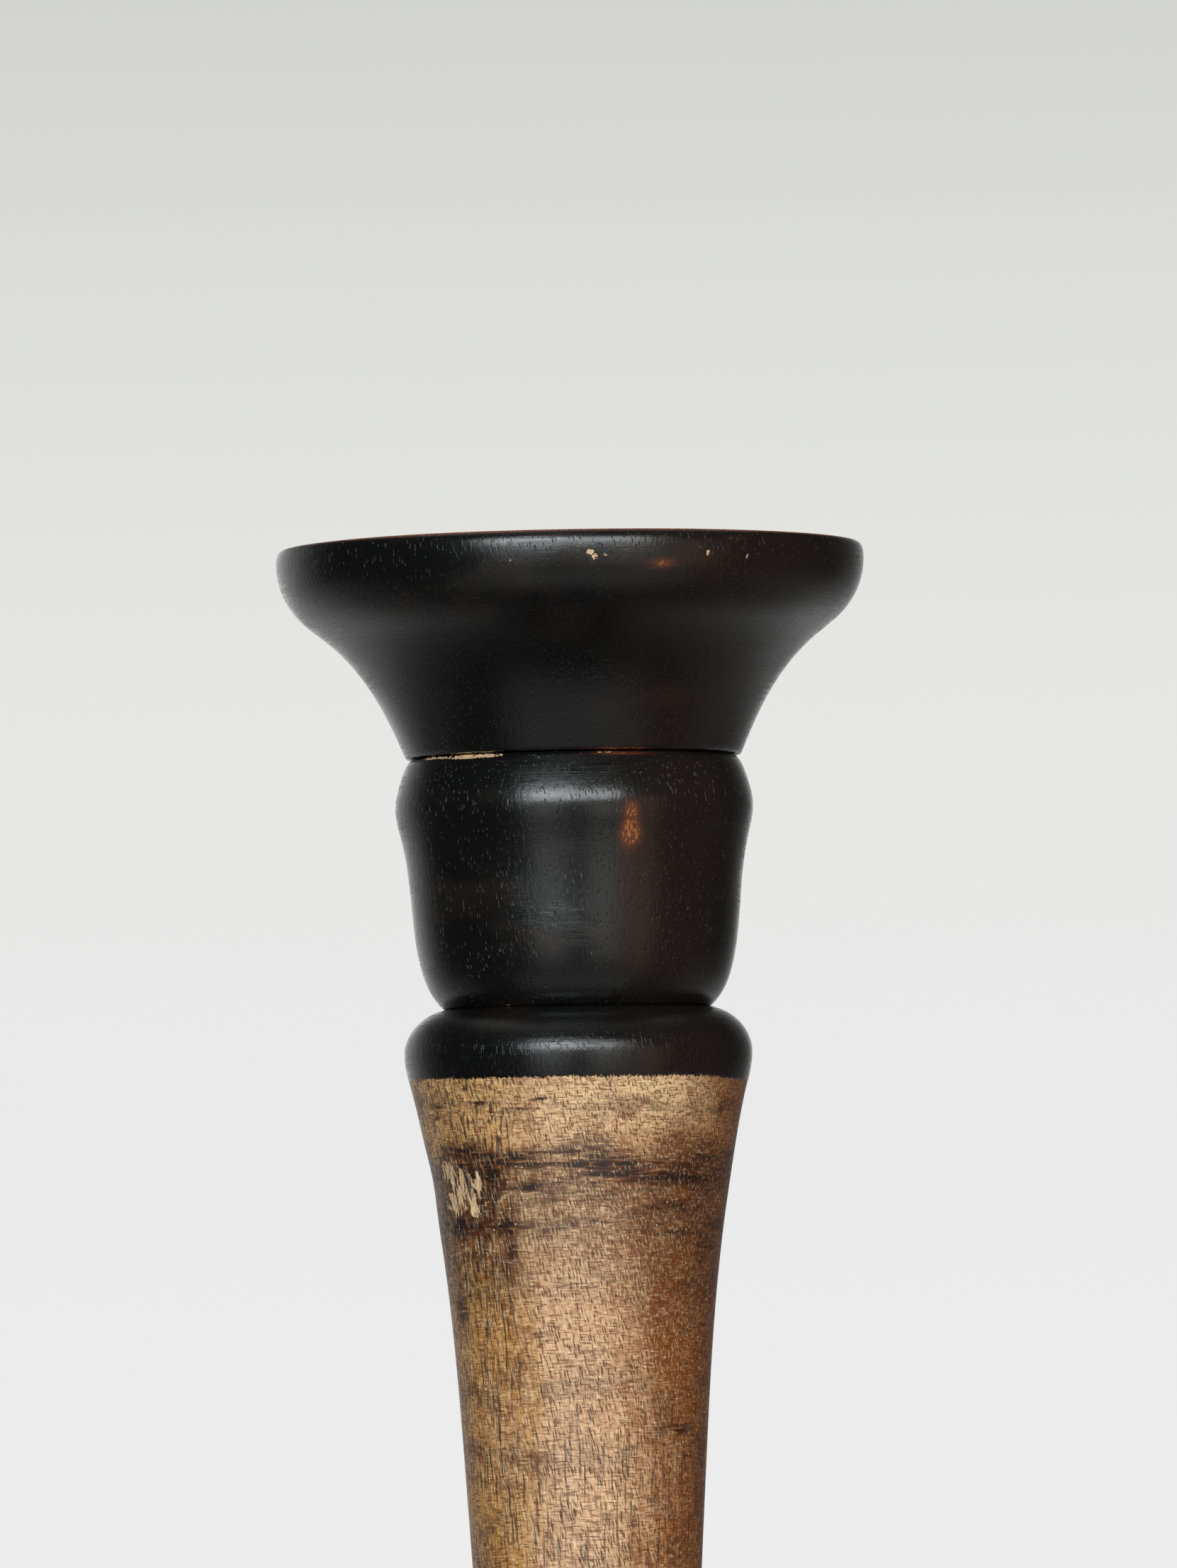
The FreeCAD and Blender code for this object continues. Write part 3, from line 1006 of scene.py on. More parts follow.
class NodeSheet:
    """A node tree, with short ways to add what the finishes and the lighting need."""

    def __init__(self, tree: bpy.types.NodeTree) -> None:
        """Takes over a node tree, which has no coordinates of its own yet."""
        self.tree = tree
        self.place: Socket | None = None

    def node(self, kind: str, **settings: object) -> bpy.types.Node:
        """Adds a node.

        Args:
            kind: the node's type.
            settings: properties to set on it, by name.

        Returns:
            The node.
        """
        made = self.tree.nodes.new(kind)
        for name, value in settings.items():
            setattr(made, name, value)
        return made

    def feed(self, socket: Socket, value: object) -> None:
        """Links a socket to a node's output, or sets its number or colour.

        Args:
            socket: the input to fill.
            value: an output socket, a number, or a tuple of numbers.
        """
        if isinstance(value, bpy.types.NodeSocket):
            self.tree.links.new(value, socket)
        elif socket.type == "RGBA" and len(value) == 3:
            socket.default_value = (*value, 1.0)
        else:
            socket.default_value = value

    def vector(self, operation: str, a: object, b: object = None, scale: object = None) -> Socket:
        """Vector arithmetic.

        Args:
            operation: the node's operation.
            a: the first vector.
            b: the second vector, where the operation has one.
            scale: the scale, where the operation has one.

        Returns:
            The resulting vector.
        """
        made = self.node("ShaderNodeVectorMath", operation=operation)
        self.feed(made.inputs[0], a)
        if b is not None:
            self.feed(made.inputs[1], b)
        if scale is not None:
            self.feed(made.inputs["Scale"], scale)
        return made.outputs["Vector"]

    def maths(self, operation: str, *values: object) -> Socket:
        """Arithmetic on numbers.

        Args:
            operation: the node's operation.
            values: the numbers that it works on.

        Returns:
            The result.
        """
        made = self.node("ShaderNodeMath", operation=operation)
        for socket, value in zip(made.inputs, values):
            self.feed(socket, value)
        return made.outputs[0]

    def product(self, *values: object) -> Socket:
        """All the values multiplied together."""
        return reduce(partial(self.maths, "MULTIPLY"), values)

    def total(self, *values: object) -> Socket:
        """All the values added up."""
        return reduce(partial(self.maths, "ADD"), values)

    def greatest(self, *values: object) -> Socket:
        """The largest of the values."""
        return reduce(partial(self.maths, "MAXIMUM"), values)

    def rise(
        self, value: object, low: float, high: float, to_low: float = 0.0, to_high: float = 1.0
    ) -> Socket:
        """Maps a value smoothly from one range to another and holds it at the ends.

        Args:
            value: the value to map.
            low: where the change starts.
            high: where it ends; below low for a falling map.
            to_low: the result at low.
            to_high: the result at high.

        Returns:
            The mapped value.
        """
        made = self.node("ShaderNodeMapRange", interpolation_type="SMOOTHSTEP", clamp=True)
        self.feed(made.inputs["Value"], value)
        for end, (level, result) in zip(("Min", "Max"), sorted(((low, to_low), (high, to_high)))):
            made.inputs[f"From {end}"].default_value = level
            made.inputs[f"To {end}"].default_value = result
        return made.outputs["Result"]

    def sized(self, size: Size, place: Socket | None, shift: float) -> Socket:
        """Coordinates in units of a feature's size.

        Args:
            size: the feature's size in millimetres, or one size for each axis.
            place: coordinates in millimetres; None for the sheet's own.
            shift: moves the pattern, in units of the feature.

        Returns:
            The scaled coordinates.
        """
        sizes = (size,) * 3 if isinstance(size, (int, float)) else size
        made = self.node("ShaderNodeVectorMath", operation="MULTIPLY_ADD")
        self.feed(made.inputs[0], self.place if place is None else place)
        made.inputs[1].default_value = tuple(1 / s for s in sizes)
        made.inputs[2].default_value = (shift, shift * 1.7, shift * 0.6)
        return made.outputs["Vector"]

    def cloud(
        self,
        size: Size,
        detail: float = 2.0,
        shift: float = 0.0,
        place: Socket | None = None,
        warp: float = 0.0,
    ) -> Socket:
        """Noise from 0 to 1.

        Args:
            size: size of its blotches in millimetres, or one size for each axis.
            detail: octaves of finer noise.
            shift: moves the pattern.
            place: coordinates in millimetres; the sheet's own if left out.
            warp: distortion of the noise.

        Returns:
            The noise value.
        """
        made = self.node("ShaderNodeTexNoise", noise_dimensions="3D")
        self.feed(made.inputs["Vector"], self.sized(size, place, shift))
        made.inputs["Scale"].default_value = 1.0
        made.inputs["Detail"].default_value = detail
        made.inputs["Roughness"].default_value = 0.55
        made.inputs["Distortion"].default_value = warp
        return made.outputs["Fac"]

    def cells(
        self, size: Size, shift: float = 0.0, place: Socket | None = None
    ) -> tuple[Socket, Socket]:
        """Scattered cells: the distance to the nearest centre, and a random number for its cell.

        Args:
            size: size of a cell in millimetres, or one size for each axis.
            shift: moves the pattern.
            place: coordinates in millimetres; the sheet's own if left out.

        Returns:
            The distance in cells, and the random number from 0 to 1.
        """
        made = self.node("ShaderNodeTexVoronoi", voronoi_dimensions="3D", feature="F1")
        self.feed(made.inputs["Vector"], self.sized(size, place, shift))
        made.inputs["Scale"].default_value = 1.0
        split = self.node("ShaderNodeSeparateColor")
        self.feed(split.inputs[0], made.outputs["Color"])
        return made.outputs["Distance"], split.outputs[0]

    def over(self, factor: object, below: object, above: object) -> Socket:
        """Lays one colour over another.

        Args:
            factor: how much of the upper colour shows.
            below: the lower colour.
            above: the upper colour.

        Returns:
            The mixed colour.
        """
        made = self.node("ShaderNodeMix", data_type="RGBA", clamp_factor=True)
        for number, value in ((0, factor), (6, below), (7, above)):
            self.feed(made.inputs[number], value)
        return made.outputs[2]

    def either(self, factor: object, first: object, second: object) -> Socket:
        """Blends two numbers.

        Args:
            factor: 0 for the first number, 1 for the second.
            first: the first number.
            second: the second number.

        Returns:
            The blended number.
        """
        made = self.node("ShaderNodeMix", data_type="FLOAT", clamp_factor=True)
        for number, value in ((0, factor), (2, first), (3, second)):
            self.feed(made.inputs[number], value)
        return made.outputs[0]

    def axes(self, place: Socket | None = None) -> tuple[Socket, Socket, Socket]:
        """Splits coordinates into the three axes.

        Args:
            place: the coordinates; the sheet's own, in millimetres, if left out.

        Returns:
            X, Y and Z.
        """
        made = self.node("ShaderNodeSeparateXYZ")
        self.feed(made.inputs[0], self.place if place is None else place)
        return made.outputs[0], made.outputs[1], made.outputs[2]


class MaterialSheet(NodeSheet):
    """The node tree of a new material, whose coordinates are the object's own in millimetres."""

    def __init__(self, name: str) -> None:
        """Starts a material with a plain shader.

        Args:
            name: the material's name.
        """
        self.material = bpy.data.materials.new(name)
        self.material.use_nodes = True
        super().__init__(self.material.node_tree)
        self.shader = next(n for n in self.tree.nodes if n.type == "BSDF_PRINCIPLED")
        self.output = next(n for n in self.tree.nodes if n.type == "OUTPUT_MATERIAL")
        metres = self.node("ShaderNodeTexCoord").outputs["Object"]
        self.place = self.vector("SCALE", metres, scale=1 / MM)
        self.colour: object = (0.0, 0.0, 0.0)

    def coat(self, amount: object, colour: object) -> None:
        """Lays a colour over the colour that the surface has so far, by an amount."""
        self.colour = self.over(amount, self.colour, colour)

    def layer(self, layer: Layer) -> Socket:
        """A value kept on the piece's points."""
        return self.node("ShaderNodeAttribute", attribute_name=layer.value).outputs["Fac"]

    def bump(self, height: object, depth: float) -> None:
        """Gives the shader a bump.

        Args:
            height: how high the surface stands, from 0 to 1.
            depth: the bump's depth in millimetres for a height of 1.
        """
        made = self.node("ShaderNodeBump")
        made.inputs["Strength"].default_value = 1.0
        made.inputs["Distance"].default_value = depth * MM
        self.feed(made.inputs["Height"], height)
        self.feed(self.shader.inputs["Normal"], made.outputs["Normal"])

    def finish(self, roughness: object, metallic: float = 0.0) -> None:
        """Fills the shader with the sheet's colour.

        Args:
            roughness: the roughness.
            metallic: 1 for a metal.
        """
        self.feed(self.shader.inputs["Base Color"], self.colour)
        self.feed(self.shader.inputs["Roughness"], roughness)
        self.shader.inputs["Metallic"].default_value = metallic


# ---------------------------------------------------------------- finishes


@dataclass(frozen=True)
class Finish:
    """A finish: what a piece's surface looks like. The relief is in millimetres."""

    name: str = "finish"
    relief: float = 0.05

    def material(self) -> bpy.types.Material:
        """Makes the finish's material.

        Returns:
            The new material.
        """
        sheet = MaterialSheet(self.name)
        self.lay_on(sheet)
        return sheet.material

    def lay_on(self, sheet: MaterialSheet) -> None:
        """Fills a new material's sheet."""
        raise NotImplementedError


@dataclass(frozen=True)
class Grain:
    """Open pores of the hardwood: short dashes along the fibres. Sizes are in millimetres."""

    cell: float = 0.4
    length: float = 2.6
    least: float = 0.04
    most: float = 0.27
    lean: float = 12.0
    leaning_shifts: tuple[float, ...] = (0.0, 7.3, 3.7)
    upright_shifts: tuple[float, ...] = (2.1, 5.9)

    def leaning(self, sheet: NodeSheet) -> Socket:
        """Follows fibres that lean over to the left towards the top.

        Args:
            sheet: the node sheet.

        Returns:
            Coordinates whose Z runs along the fibres.
        """
        x, y, z = sheet.axes()
        shift = sheet.product(z, math.tan(math.radians(self.lean)))
        made = sheet.node("ShaderNodeCombineXYZ")
        sheet.feed(made.inputs[0], sheet.total(x, shift))
        sheet.feed(made.inputs[1], y)
        sheet.feed(made.inputs[2], z)
        return made.outputs[0]

    def scatters(self, sheet: NodeSheet, place: Socket, shifts: tuple[float, ...]) -> Socket:
        """Scatters pores several times over.

        Args:
            sheet: the node sheet.
            place: coordinates that the pores follow.
            shifts: one number for each scatter, which moves it.

        Returns:
            1 in a pore, 0 between pores.
        """
        found = []
        for shift in shifts:
            distance, random = sheet.cells((self.cell, self.cell, self.length), shift, place)
            reach = sheet.rise(random, 0.0, 1.0, self.least, self.most)
            found.append(sheet.rise(sheet.maths("SUBTRACT", distance, reach), 0.08, -0.05))
        return sheet.greatest(*found)

    def pores(self, sheet: NodeSheet) -> Socket:
        """Leaning pores over most of the block, and upright ones towards -X.

        Args:
            sheet: the node sheet.

        Returns:
            1 in a pore, 0 between pores.
        """
        x, _, _ = sheet.axes()
        wander = sheet.cloud((9.0, 9.0, 30.0), 1.0, 3.0)
        side = sheet.rise(sheet.total(x, sheet.product(wander, 10.0)), -8.0, 0.0)
        slanted = self.scatters(sheet, self.leaning(sheet), self.leaning_shifts)
        upright = self.scatters(sheet, sheet.place, self.upright_shifts)
        return sheet.either(side, upright, slanted)


@dataclass(frozen=True)
class BlackPaint:
    """Satin black paint over open-pored wood, thin where it is handled, with a painted warm reflection
    browning its +X side.
    """

    deep: Colour = tint(13, 13, 13)
    # Brown of thin worn paint, also used as a painted warm reflection on the +X side.
    worn: Colour = tint(30, 24, 20)
    dust: Colour = tint(104, 102, 100)
    rusty: Colour = tint(104, 54, 36)
    rubbed_wood: Colour = tint(156, 94, 36)
    bare_wood: Colour = tint(206, 176, 138)
    roughness: float = 0.23

    def layers(
        self, sheet: MaterialSheet, pores: Socket, dustiness: float, wear: bool = True
    ) -> tuple[Socket, Socket, Socket]:
        """The paint's colour, roughness and relief.

        Args:
            sheet: the node sheet.
            pores: where the wood's pores are.
            dustiness: how much dust the pores hold at most.
            wear: whether the piece has the layers of bare and rubbed places.

        Returns:
            Colour, roughness and height sockets.
        """
        x, _, _ = sheet.axes()
        patches = sheet.cloud((18.0, 18.0, 9.0), 3.0, 1.3)
        # Brown tint: random patches of worn paint, and a painted warm reflection that browns the +X side.
        brown_and_warm_reflection = sheet.greatest(
            sheet.rise(patches, 0.5, 0.7, 0.0, 0.8), sheet.rise(x, 2.0, 12.0, 0.0, 0.55)
        )
        colour = sheet.over(brown_and_warm_reflection, self.deep, self.worn)
        dusty = sheet.rise(sheet.cloud((6.0, 6.0, 4.0), 2.0, 4.0), 0.5, 0.72, 0.0, dustiness)
        colour = sheet.over(sheet.product(pores, dusty), colour, self.dust)
        scratches = sheet.cloud((9.0, 9.0, 0.13), 3.0, 2.2)
        scraped = sheet.rise(sheet.cloud((12.0, 12.0, 7.0), 1.0, 6.3), 0.42, 0.6)
        fine = sheet.cloud(0.3, 2.0, 9.0)
        waves = sheet.cloud((0.6, 0.6, 2.0), 2.0, 5.0)
        roughness = sheet.total(
            self.roughness,
            sheet.rise(patches, 0.3, 0.75, -0.02, 0.07),
            sheet.product(pores, 0.2),
            sheet.product(sheet.rise(scratches, 0.4, 0.62, -0.04, 0.07), scraped),
        )
        height = sheet.total(
            sheet.product(pores, -0.7),
            sheet.product(scratches, scraped, 0.3),
            sheet.product(fine, 0.2),
            sheet.product(waves, 0.55),
        )
        if wear:
            ragged = sheet.cloud((0.35, 0.35, 0.8), 3.0, 6.0)
            specks = sheet.rise(ragged, 0.36, 0.62, 0.35, 1.6)
            rubbed = sheet.layer(Layer.RUBBED)
            colour = sheet.over(sheet.rise(rubbed, 0.1, 0.9, 0.0, 0.75), colour, self.rusty)
            rub = sheet.rise(sheet.product(rubbed, specks), 0.85, 1.25, 0.0, 0.9)
            colour = sheet.over(rub, colour, self.rubbed_wood)
            crumbled = sheet.rise(sheet.cloud(0.45, 3.0, 8.0), 0.32, 0.6, 0.5, 1.4)
            bare = sheet.rise(sheet.product(sheet.layer(Layer.BARE), crumbled), 0.5, 0.66)
            wood = sheet.over(sheet.rise(ragged, 0.28, 0.48), self.rubbed_wood, self.bare_wood)
            colour = sheet.over(bare, colour, wood)
            roughness = sheet.either(bare, roughness, 0.7)
            roughness = sheet.either(rub, roughness, 0.5)
        return colour, roughness, height


@dataclass(frozen=True)
class Ebonised(Finish):
    """Black paint all over, as on the cup, the collar and the foot."""

    name: str = "ebonised wood"
    relief: float = 0.075
    grain: Grain = Grain(0.42, 2.2, -0.1, 0.2)
    paint: BlackPaint = BlackPaint()
    dustiness: float = 0.5

    def lay_on(self, sheet: MaterialSheet) -> None:
        """Makes the black finish.

        Args:
            sheet: the new material's sheet.
        """
        pores = self.grain.pores(sheet)
        sheet.colour, roughness, height = self.paint.layers(sheet, pores, self.dustiness)
        sheet.bump(height, self.relief)
        sheet.finish(roughness)


@dataclass(frozen=True)
class StainBand:
    """A ring of gathered dark stain. Sizes are in millimetres, places below the stem's top."""

    below_top: float
    half_height: float
    strength: float


@dataclass(frozen=True)
class SmokedStem(Finish):
    """Brown open-pored wood with smoky streaks, painted black past the masked edges."""

    name: str = "smoked wood"
    relief: float = 0.06
    grain: Grain = Grain()
    # Shift of the painted pore highlights from the pores, in millimetres.
    pore_highlight_offset: tuple[float, float, float] = (0.22, 0.0, 0.1)
    paint: BlackPaint = BlackPaint()
    golden: Colour = tint(192, 138, 66)
    tan: Colour = tint(208, 164, 120)
    russet: Colour = tint(148, 84, 26)
    pale: Colour = tint(238, 202, 152)
    umber: Colour = tint(104, 52, 16)
    smoke: Colour = tint(66, 35, 15)
    soot: Colour = tint(24, 13, 8)
    pore: Colour = tint(92, 54, 24)
    # Pale wood of flecks, spots and torn places, also the colour of the painted highlights.
    fleck_and_highlight: Colour = tint(248, 220, 176)
    bands: tuple[StainBand, ...] = (
        StainBand(16.2, 1.0, 0.5),
        StainBand(23.6, 1.5, 1.0),
        StainBand(26.4, 1.2, 1.0),
        StainBand(28.8, 1.0, 0.7),
        StainBand(34.6, 1.2, 0.8),
        StainBand(43.3, 1.6, 0.4),
        StainBand(59.3, 1.4, 0.45),
        StainBand(69.8, 1.8, 0.4),
        StainBand(95.8, 2.0, 0.5),
        StainBand(131.8, 2.4, 0.6),
        StainBand(156.8, 2.0, 0.6),
    )

    def ground(self, sheet: MaterialSheet) -> None:
        """Colours the bare wood: golden towards -X, russet towards +X, paler under the paint.

        Args:
            sheet: the stem's sheet.
        """
        x, _, z = sheet.axes()
        top = top_of("stem")
        leaning = self.grain.leaning(sheet)
        broad = sheet.rise(sheet.cloud((8.0, 8.0, 30.0), 3.0, 5.0), 0.25, 0.75, -5.0, 5.0)
        narrow = sheet.rise(sheet.cloud((1.2, 1.2, 8.0), 2.0, 9.0, leaning), 0.2, 0.8, -3.5, 3.5)
        across = sheet.total(x, broad, narrow)
        sheet.colour = self.golden
        sheet.coat(sheet.rise(across, -18.0, -4.0), self.tan)
        sheet.coat(sheet.rise(across, 2.5, 15.0), self.russet)
        pale = sheet.product(
            sheet.rise(z, top - 24.8, top - 13.8),
            sheet.rise(x, 25.0, 14.0),
            sheet.rise(x, -14.0, 12.0, 0.25, 0.9),
        )
        sheet.coat(pale, self.pale)

    def smoked(self, sheet: MaterialSheet) -> None:
        """Darkens a broad belt below the pale end, mostly at its sides, and patches elsewhere.

        Args:
            sheet: the stem's sheet.
        """
        x, _, z = sheet.axes()
        top = top_of("stem")
        sway = sheet.rise(sheet.cloud((12.0, 12.0, 9.0), 2.0, 6.5), 0.25, 0.75, -3.0, 3.0)
        level = sheet.total(z, sway)
        left, right = sheet.rise(x, -5.0, -13.0), sheet.rise(x, 2.0, 14.0)
        upper = sheet.rise(level, top - 19.3, top - 23.8)
        middle = sheet.product(upper, sheet.rise(level, top - 41.8, top - 34.8), 0.55)
        leftward = sheet.product(upper, sheet.rise(level, top - 51.8, top - 33.8), left, 1.1)
        rightward = sheet.product(upper, sheet.rise(level, top - 62.8, top - 35.8), right, 0.75)
        mottle = sheet.rise(sheet.cloud((4.0, 4.0, 2.6), 3.0, 8.0, warp=0.5), 0.3, 0.7, 0.5, 1.1)
        belt = sheet.greatest(middle, leftward, rightward)
        sheet.coat(sheet.product(belt, mottle), self.smoke)
        patches = sheet.rise(sheet.cloud((7.0, 7.0, 4.0), 3.0, 2.6, warp=0.5), 0.47, 0.7)
        share = sheet.either(sheet.greatest(left, right), 0.35, 0.75)
        sheet.coat(sheet.product(patches, share), self.umber)

    def hatching(self, sheet: MaterialSheet) -> Socket:
        """Draws fine dark cross-lines, light flecks and light cross-lines that are painted highlights,
        dimmed by painted shade towards +X, and long dark fibres.

        Args:
            sheet: the stem's sheet.

        Returns:
            The cross-lines' value, for the relief.
        """
        x, _, z = sheet.axes()
        top = top_of("stem")
        # Painted shade: dims the painted highlights towards +X.
        shade = sheet.rise(x, 6.0, 15.0, 1.0, 0.6)
        fibres = sheet.cloud((0.3, 0.3, 1.9), 2.0, 4.0, self.grain.leaning(sheet))
        sheet.coat(sheet.rise(fibres, 0.5, 0.7, 0.0, 0.65), self.umber)
        # Painted highlights: light flecks between the fibres.
        sheet.coat(sheet.product(sheet.rise(fibres, 0.48, 0.3, 0.0, 0.48), shade), self.fleck_and_highlight)
        lines = sheet.cloud((1.5, 1.5, 0.22), 2.0, 1.0)
        sheet.coat(sheet.rise(lines, 0.51, 0.66, 0.0, 0.8), self.umber)
        # Painted highlights: light cross-lines.
        sheet.coat(sheet.product(sheet.rise(lines, 0.44, 0.3, 0.0, 0.42), shade), self.fleck_and_highlight)
        long_lines = sheet.cloud((0.42, 0.42, 38.0), 2.0, 2.0, warp=0.2)
        left = sheet.rise(x, -7.0, -12.0)
        low = sheet.rise(z, top - 53.8, top - 71.8, 0.0, 0.75)
        where = sheet.greatest(left, low, 0.08)
        sheet.coat(sheet.product(sheet.rise(long_lines, 0.53, 0.64), where, 0.85), self.soot)
        return lines

    def stains(self, sheet: MaterialSheet) -> None:
        """Draws smoky streaks that lie across the grain, and the sooty marks.

        Args:
            sheet: the stem's sheet.
        """
        _, _, z = sheet.axes()
        top = top_of("stem")
        sway = sheet.rise(sheet.cloud((14.0, 14.0, 8.0), 1.0, 6.0), 0.2, 0.8, -1.4, 1.4)
        level = sheet.total(z, sway)
        gathered: object = 0.0
        for band in self.bands:
            offset = sheet.maths("ABSOLUTE", sheet.maths("SUBTRACT", level, top - band.below_top))
            near = sheet.rise(offset, 2.2 * band.half_height, 0.0, 0.0, band.strength)
            gathered = sheet.greatest(gathered, near)
        streaks = sheet.rise(sheet.cloud((6.0, 6.0, 0.6), 4.0, 7.0, warp=0.5), 0.46, 0.62)
        smudges = sheet.rise(sheet.cloud((4.5, 4.5, 1.3), 3.0, 3.0), 0.52, 0.66, 0.0, 0.9)
        sheet.coat(sheet.product(gathered, sheet.greatest(streaks, smudges), 0.9), self.soot)
        wisps = sheet.rise(sheet.cloud((3.0, 3.0, 0.5), 4.0, 5.0, warp=0.4), 0.34, 0.6, 0.35, 1.15)
        smudged = sheet.product(sheet.layer(Layer.SOOT), wisps)
        sheet.coat(sheet.rise(smudged, 0.1, 0.6, 0.0, 0.75), self.umber)
        sheet.coat(sheet.rise(smudged, 0.18, 0.75, 0.0, 0.95), self.soot)

    def torn(self, sheet: MaterialSheet) -> None:
        """Draws the pale torn places, with dark cracks between and around them.

        Args:
            sheet: the stem's sheet.
        """
        leaning = self.grain.leaning(sheet)
        ragged = sheet.rise(sheet.cloud((0.75, 0.75, 2.6), 3.0, 6.0, leaning), 0.36, 0.62, 0.1, 1.6)
        amount = sheet.product(sheet.layer(Layer.BARE), ragged)
        cracks = sheet.rise(sheet.cloud(0.8, 3.0, 2.0), 0.38, 0.55)
        sheet.coat(sheet.product(sheet.rise(amount, 0.1, 0.3), cracks, 0.85), self.soot)
        splinters = sheet.rise(sheet.cloud((0.25, 0.25, 1.2), 2.0, 3.3, leaning), 0.35, 0.65)
        wood = sheet.over(splinters, self.tan, self.fleck_and_highlight)
        sheet.coat(sheet.rise(amount, 0.55, 0.64, 0.0, 0.85), wood)

    def spots(self, sheet: MaterialSheet) -> Socket:
        """Scatters small pale spots.

        Args:
            sheet: the stem's sheet.

        Returns:
            1 on a spot, 0 elsewhere.
        """
        distance, random = sheet.cells(0.9, 11.0)
        spots = sheet.product(sheet.rise(distance, 0.2, 0.12), sheet.rise(random, 0.75, 0.8))
        sheet.coat(sheet.product(spots, 0.7), self.fleck_and_highlight)
        return spots

    def lay_on(self, sheet: MaterialSheet) -> None:
        """Makes the stem's finish.

        Args:
            sheet: the new material's sheet.
        """
        pores = self.grain.pores(sheet)
        self.ground(sheet)
        self.smoked(sheet)
        lines = self.hatching(sheet)
        self.stains(sheet)
        spots = self.spots(sheet)
        self.torn(sheet)
        # Painted highlights: a light ridge beside each pore, standing in for the shading of the relief.
        beside = sheet.vector("ADD", self.grain.leaning(sheet), self.pore_highlight_offset)
        painted_pore_highlights = self.grain.scatters(sheet, beside, self.grain.leaning_shifts)
        sheet.coat(sheet.product(painted_pore_highlights, 0.22), self.fleck_and_highlight)
        sheet.coat(sheet.product(pores, 0.8), self.pore)
        filled = sheet.product(pores, 0.45)
        black, satin, skin = self.paint.layers(sheet, filled, dustiness=0.12, wear=False)
        jitter = sheet.total(
            sheet.rise(sheet.cloud((0.35, 0.35, 0.8), 2.0, 12.0), 0.2, 0.8, -0.28, 0.28),
            sheet.product(pores, -0.3),
        )
        painted = sheet.rise(sheet.total(sheet.layer(Layer.PAINT), jitter), -0.06, 0.06)
        height = sheet.total(
            sheet.product(pores, -1.0), sheet.product(lines, 0.5), sheet.product(spots, 0.4)
        )
        roughness = sheet.total(0.42, sheet.product(pores, 0.3), sheet.product(lines, 0.1))
        sheet.coat(painted, black)
        sheet.bump(sheet.either(painted, height, skin), self.relief)
        sheet.finish(sheet.either(painted, roughness, satin))


@dataclass(frozen=True)
class AgedBrass(Finish):
    """Drawn brass with turning lines and brown spots of age."""

    name: str = "aged brass"
    relief: float = 0.012
    bright: Colour = tint(206, 172, 108)
    dull: Colour = tint(150, 112, 62)
    spot: Colour = tint(92, 62, 34)

    def lay_on(self, sheet: MaterialSheet) -> None:
        """Makes the brass finish.

        Args:
            sheet: the new material's sheet.
        """
        age = sheet.cloud((6.0, 6.0, 9.0), 4.0, 1.0)
        sheet.colour = self.bright
        sheet.coat(sheet.rise(age, 0.4, 0.68), self.dull)
        distance, random = sheet.cells(2.6, 3.0)
        spots = sheet.product(sheet.rise(distance, 0.3, 0.12), sheet.rise(random, 0.6, 0.7))
        sheet.coat(sheet.product(spots, 0.7), self.spot)
        drawn = sheet.cloud((0.18, 0.18, 14.0), 2.0, 6.0)
        roughness = sheet.total(0.24, sheet.rise(age, 0.35, 0.7, 0.0, 0.2), sheet.product(drawn, 0.12))
        sheet.bump(sheet.total(drawn, sheet.product(spots, -0.6)), self.relief)
        sheet.finish(roughness, metallic=1.0)


@dataclass(frozen=True)
class PressedCork(Finish):
    """Cork granules pressed into a sheet."""

    name: str = "pressed cork"
    relief: float = 0.12
    light: Colour = tint(196, 154, 108)
    brown: Colour = tint(150, 106, 68)
    dark: Colour = tint(74, 48, 30)

    def lay_on(self, sheet: MaterialSheet) -> None:
        """Makes the cork finish.

        Args:
            sheet: the new material's sheet.
        """
        distance, random = sheet.cells(1.9)
        sheet.colour = self.light
        sheet.coat(random, self.brown)
        seams = sheet.rise(distance, 0.45, 0.8)
        sheet.coat(sheet.product(seams, 0.6), self.dark)
        distance, random = sheet.cells(1.1, 5.0)
        crumbs = sheet.product(sheet.rise(distance, 0.32, 0.2), sheet.rise(random, 0.75, 0.8))
        sheet.coat(sheet.product(crumbs, 0.8), self.dark)
        pits = sheet.cloud(0.3, 3.0, 2.0)
        height = sheet.total(pits, sheet.product(seams, -0.8), sheet.product(crumbs, -0.7))
        sheet.bump(height, self.relief)
        sheet.finish(sheet.rise(pits, 0.2, 0.8, 0.82, 0.95))


@dataclass(frozen=True)
class ZincSteel(Finish):
    """Zinc-plated steel, dulled in patches."""

    name: str = "zinc steel"
    relief: float = 0.01
    bright: Colour = tint(196, 199, 202)
    dull: Colour = tint(146, 148, 146)

    def lay_on(self, sheet: MaterialSheet) -> None:
        """Makes the steel finish.

        Args:
            sheet: the new material's sheet.
        """
        patches = sheet.cloud(2.4, 4.0)
        brushed = sheet.cloud((3.0, 3.0, 0.12), 2.0, 4.0)
        sheet.colour = self.bright
        sheet.coat(sheet.rise(patches, 0.4, 0.65), self.dull)
        sheet.bump(sheet.total(brushed, sheet.product(patches, 0.5)), self.relief)
        sheet.finish(sheet.rise(patches, 0.3, 0.7, 0.26, 0.46), metallic=1.0)


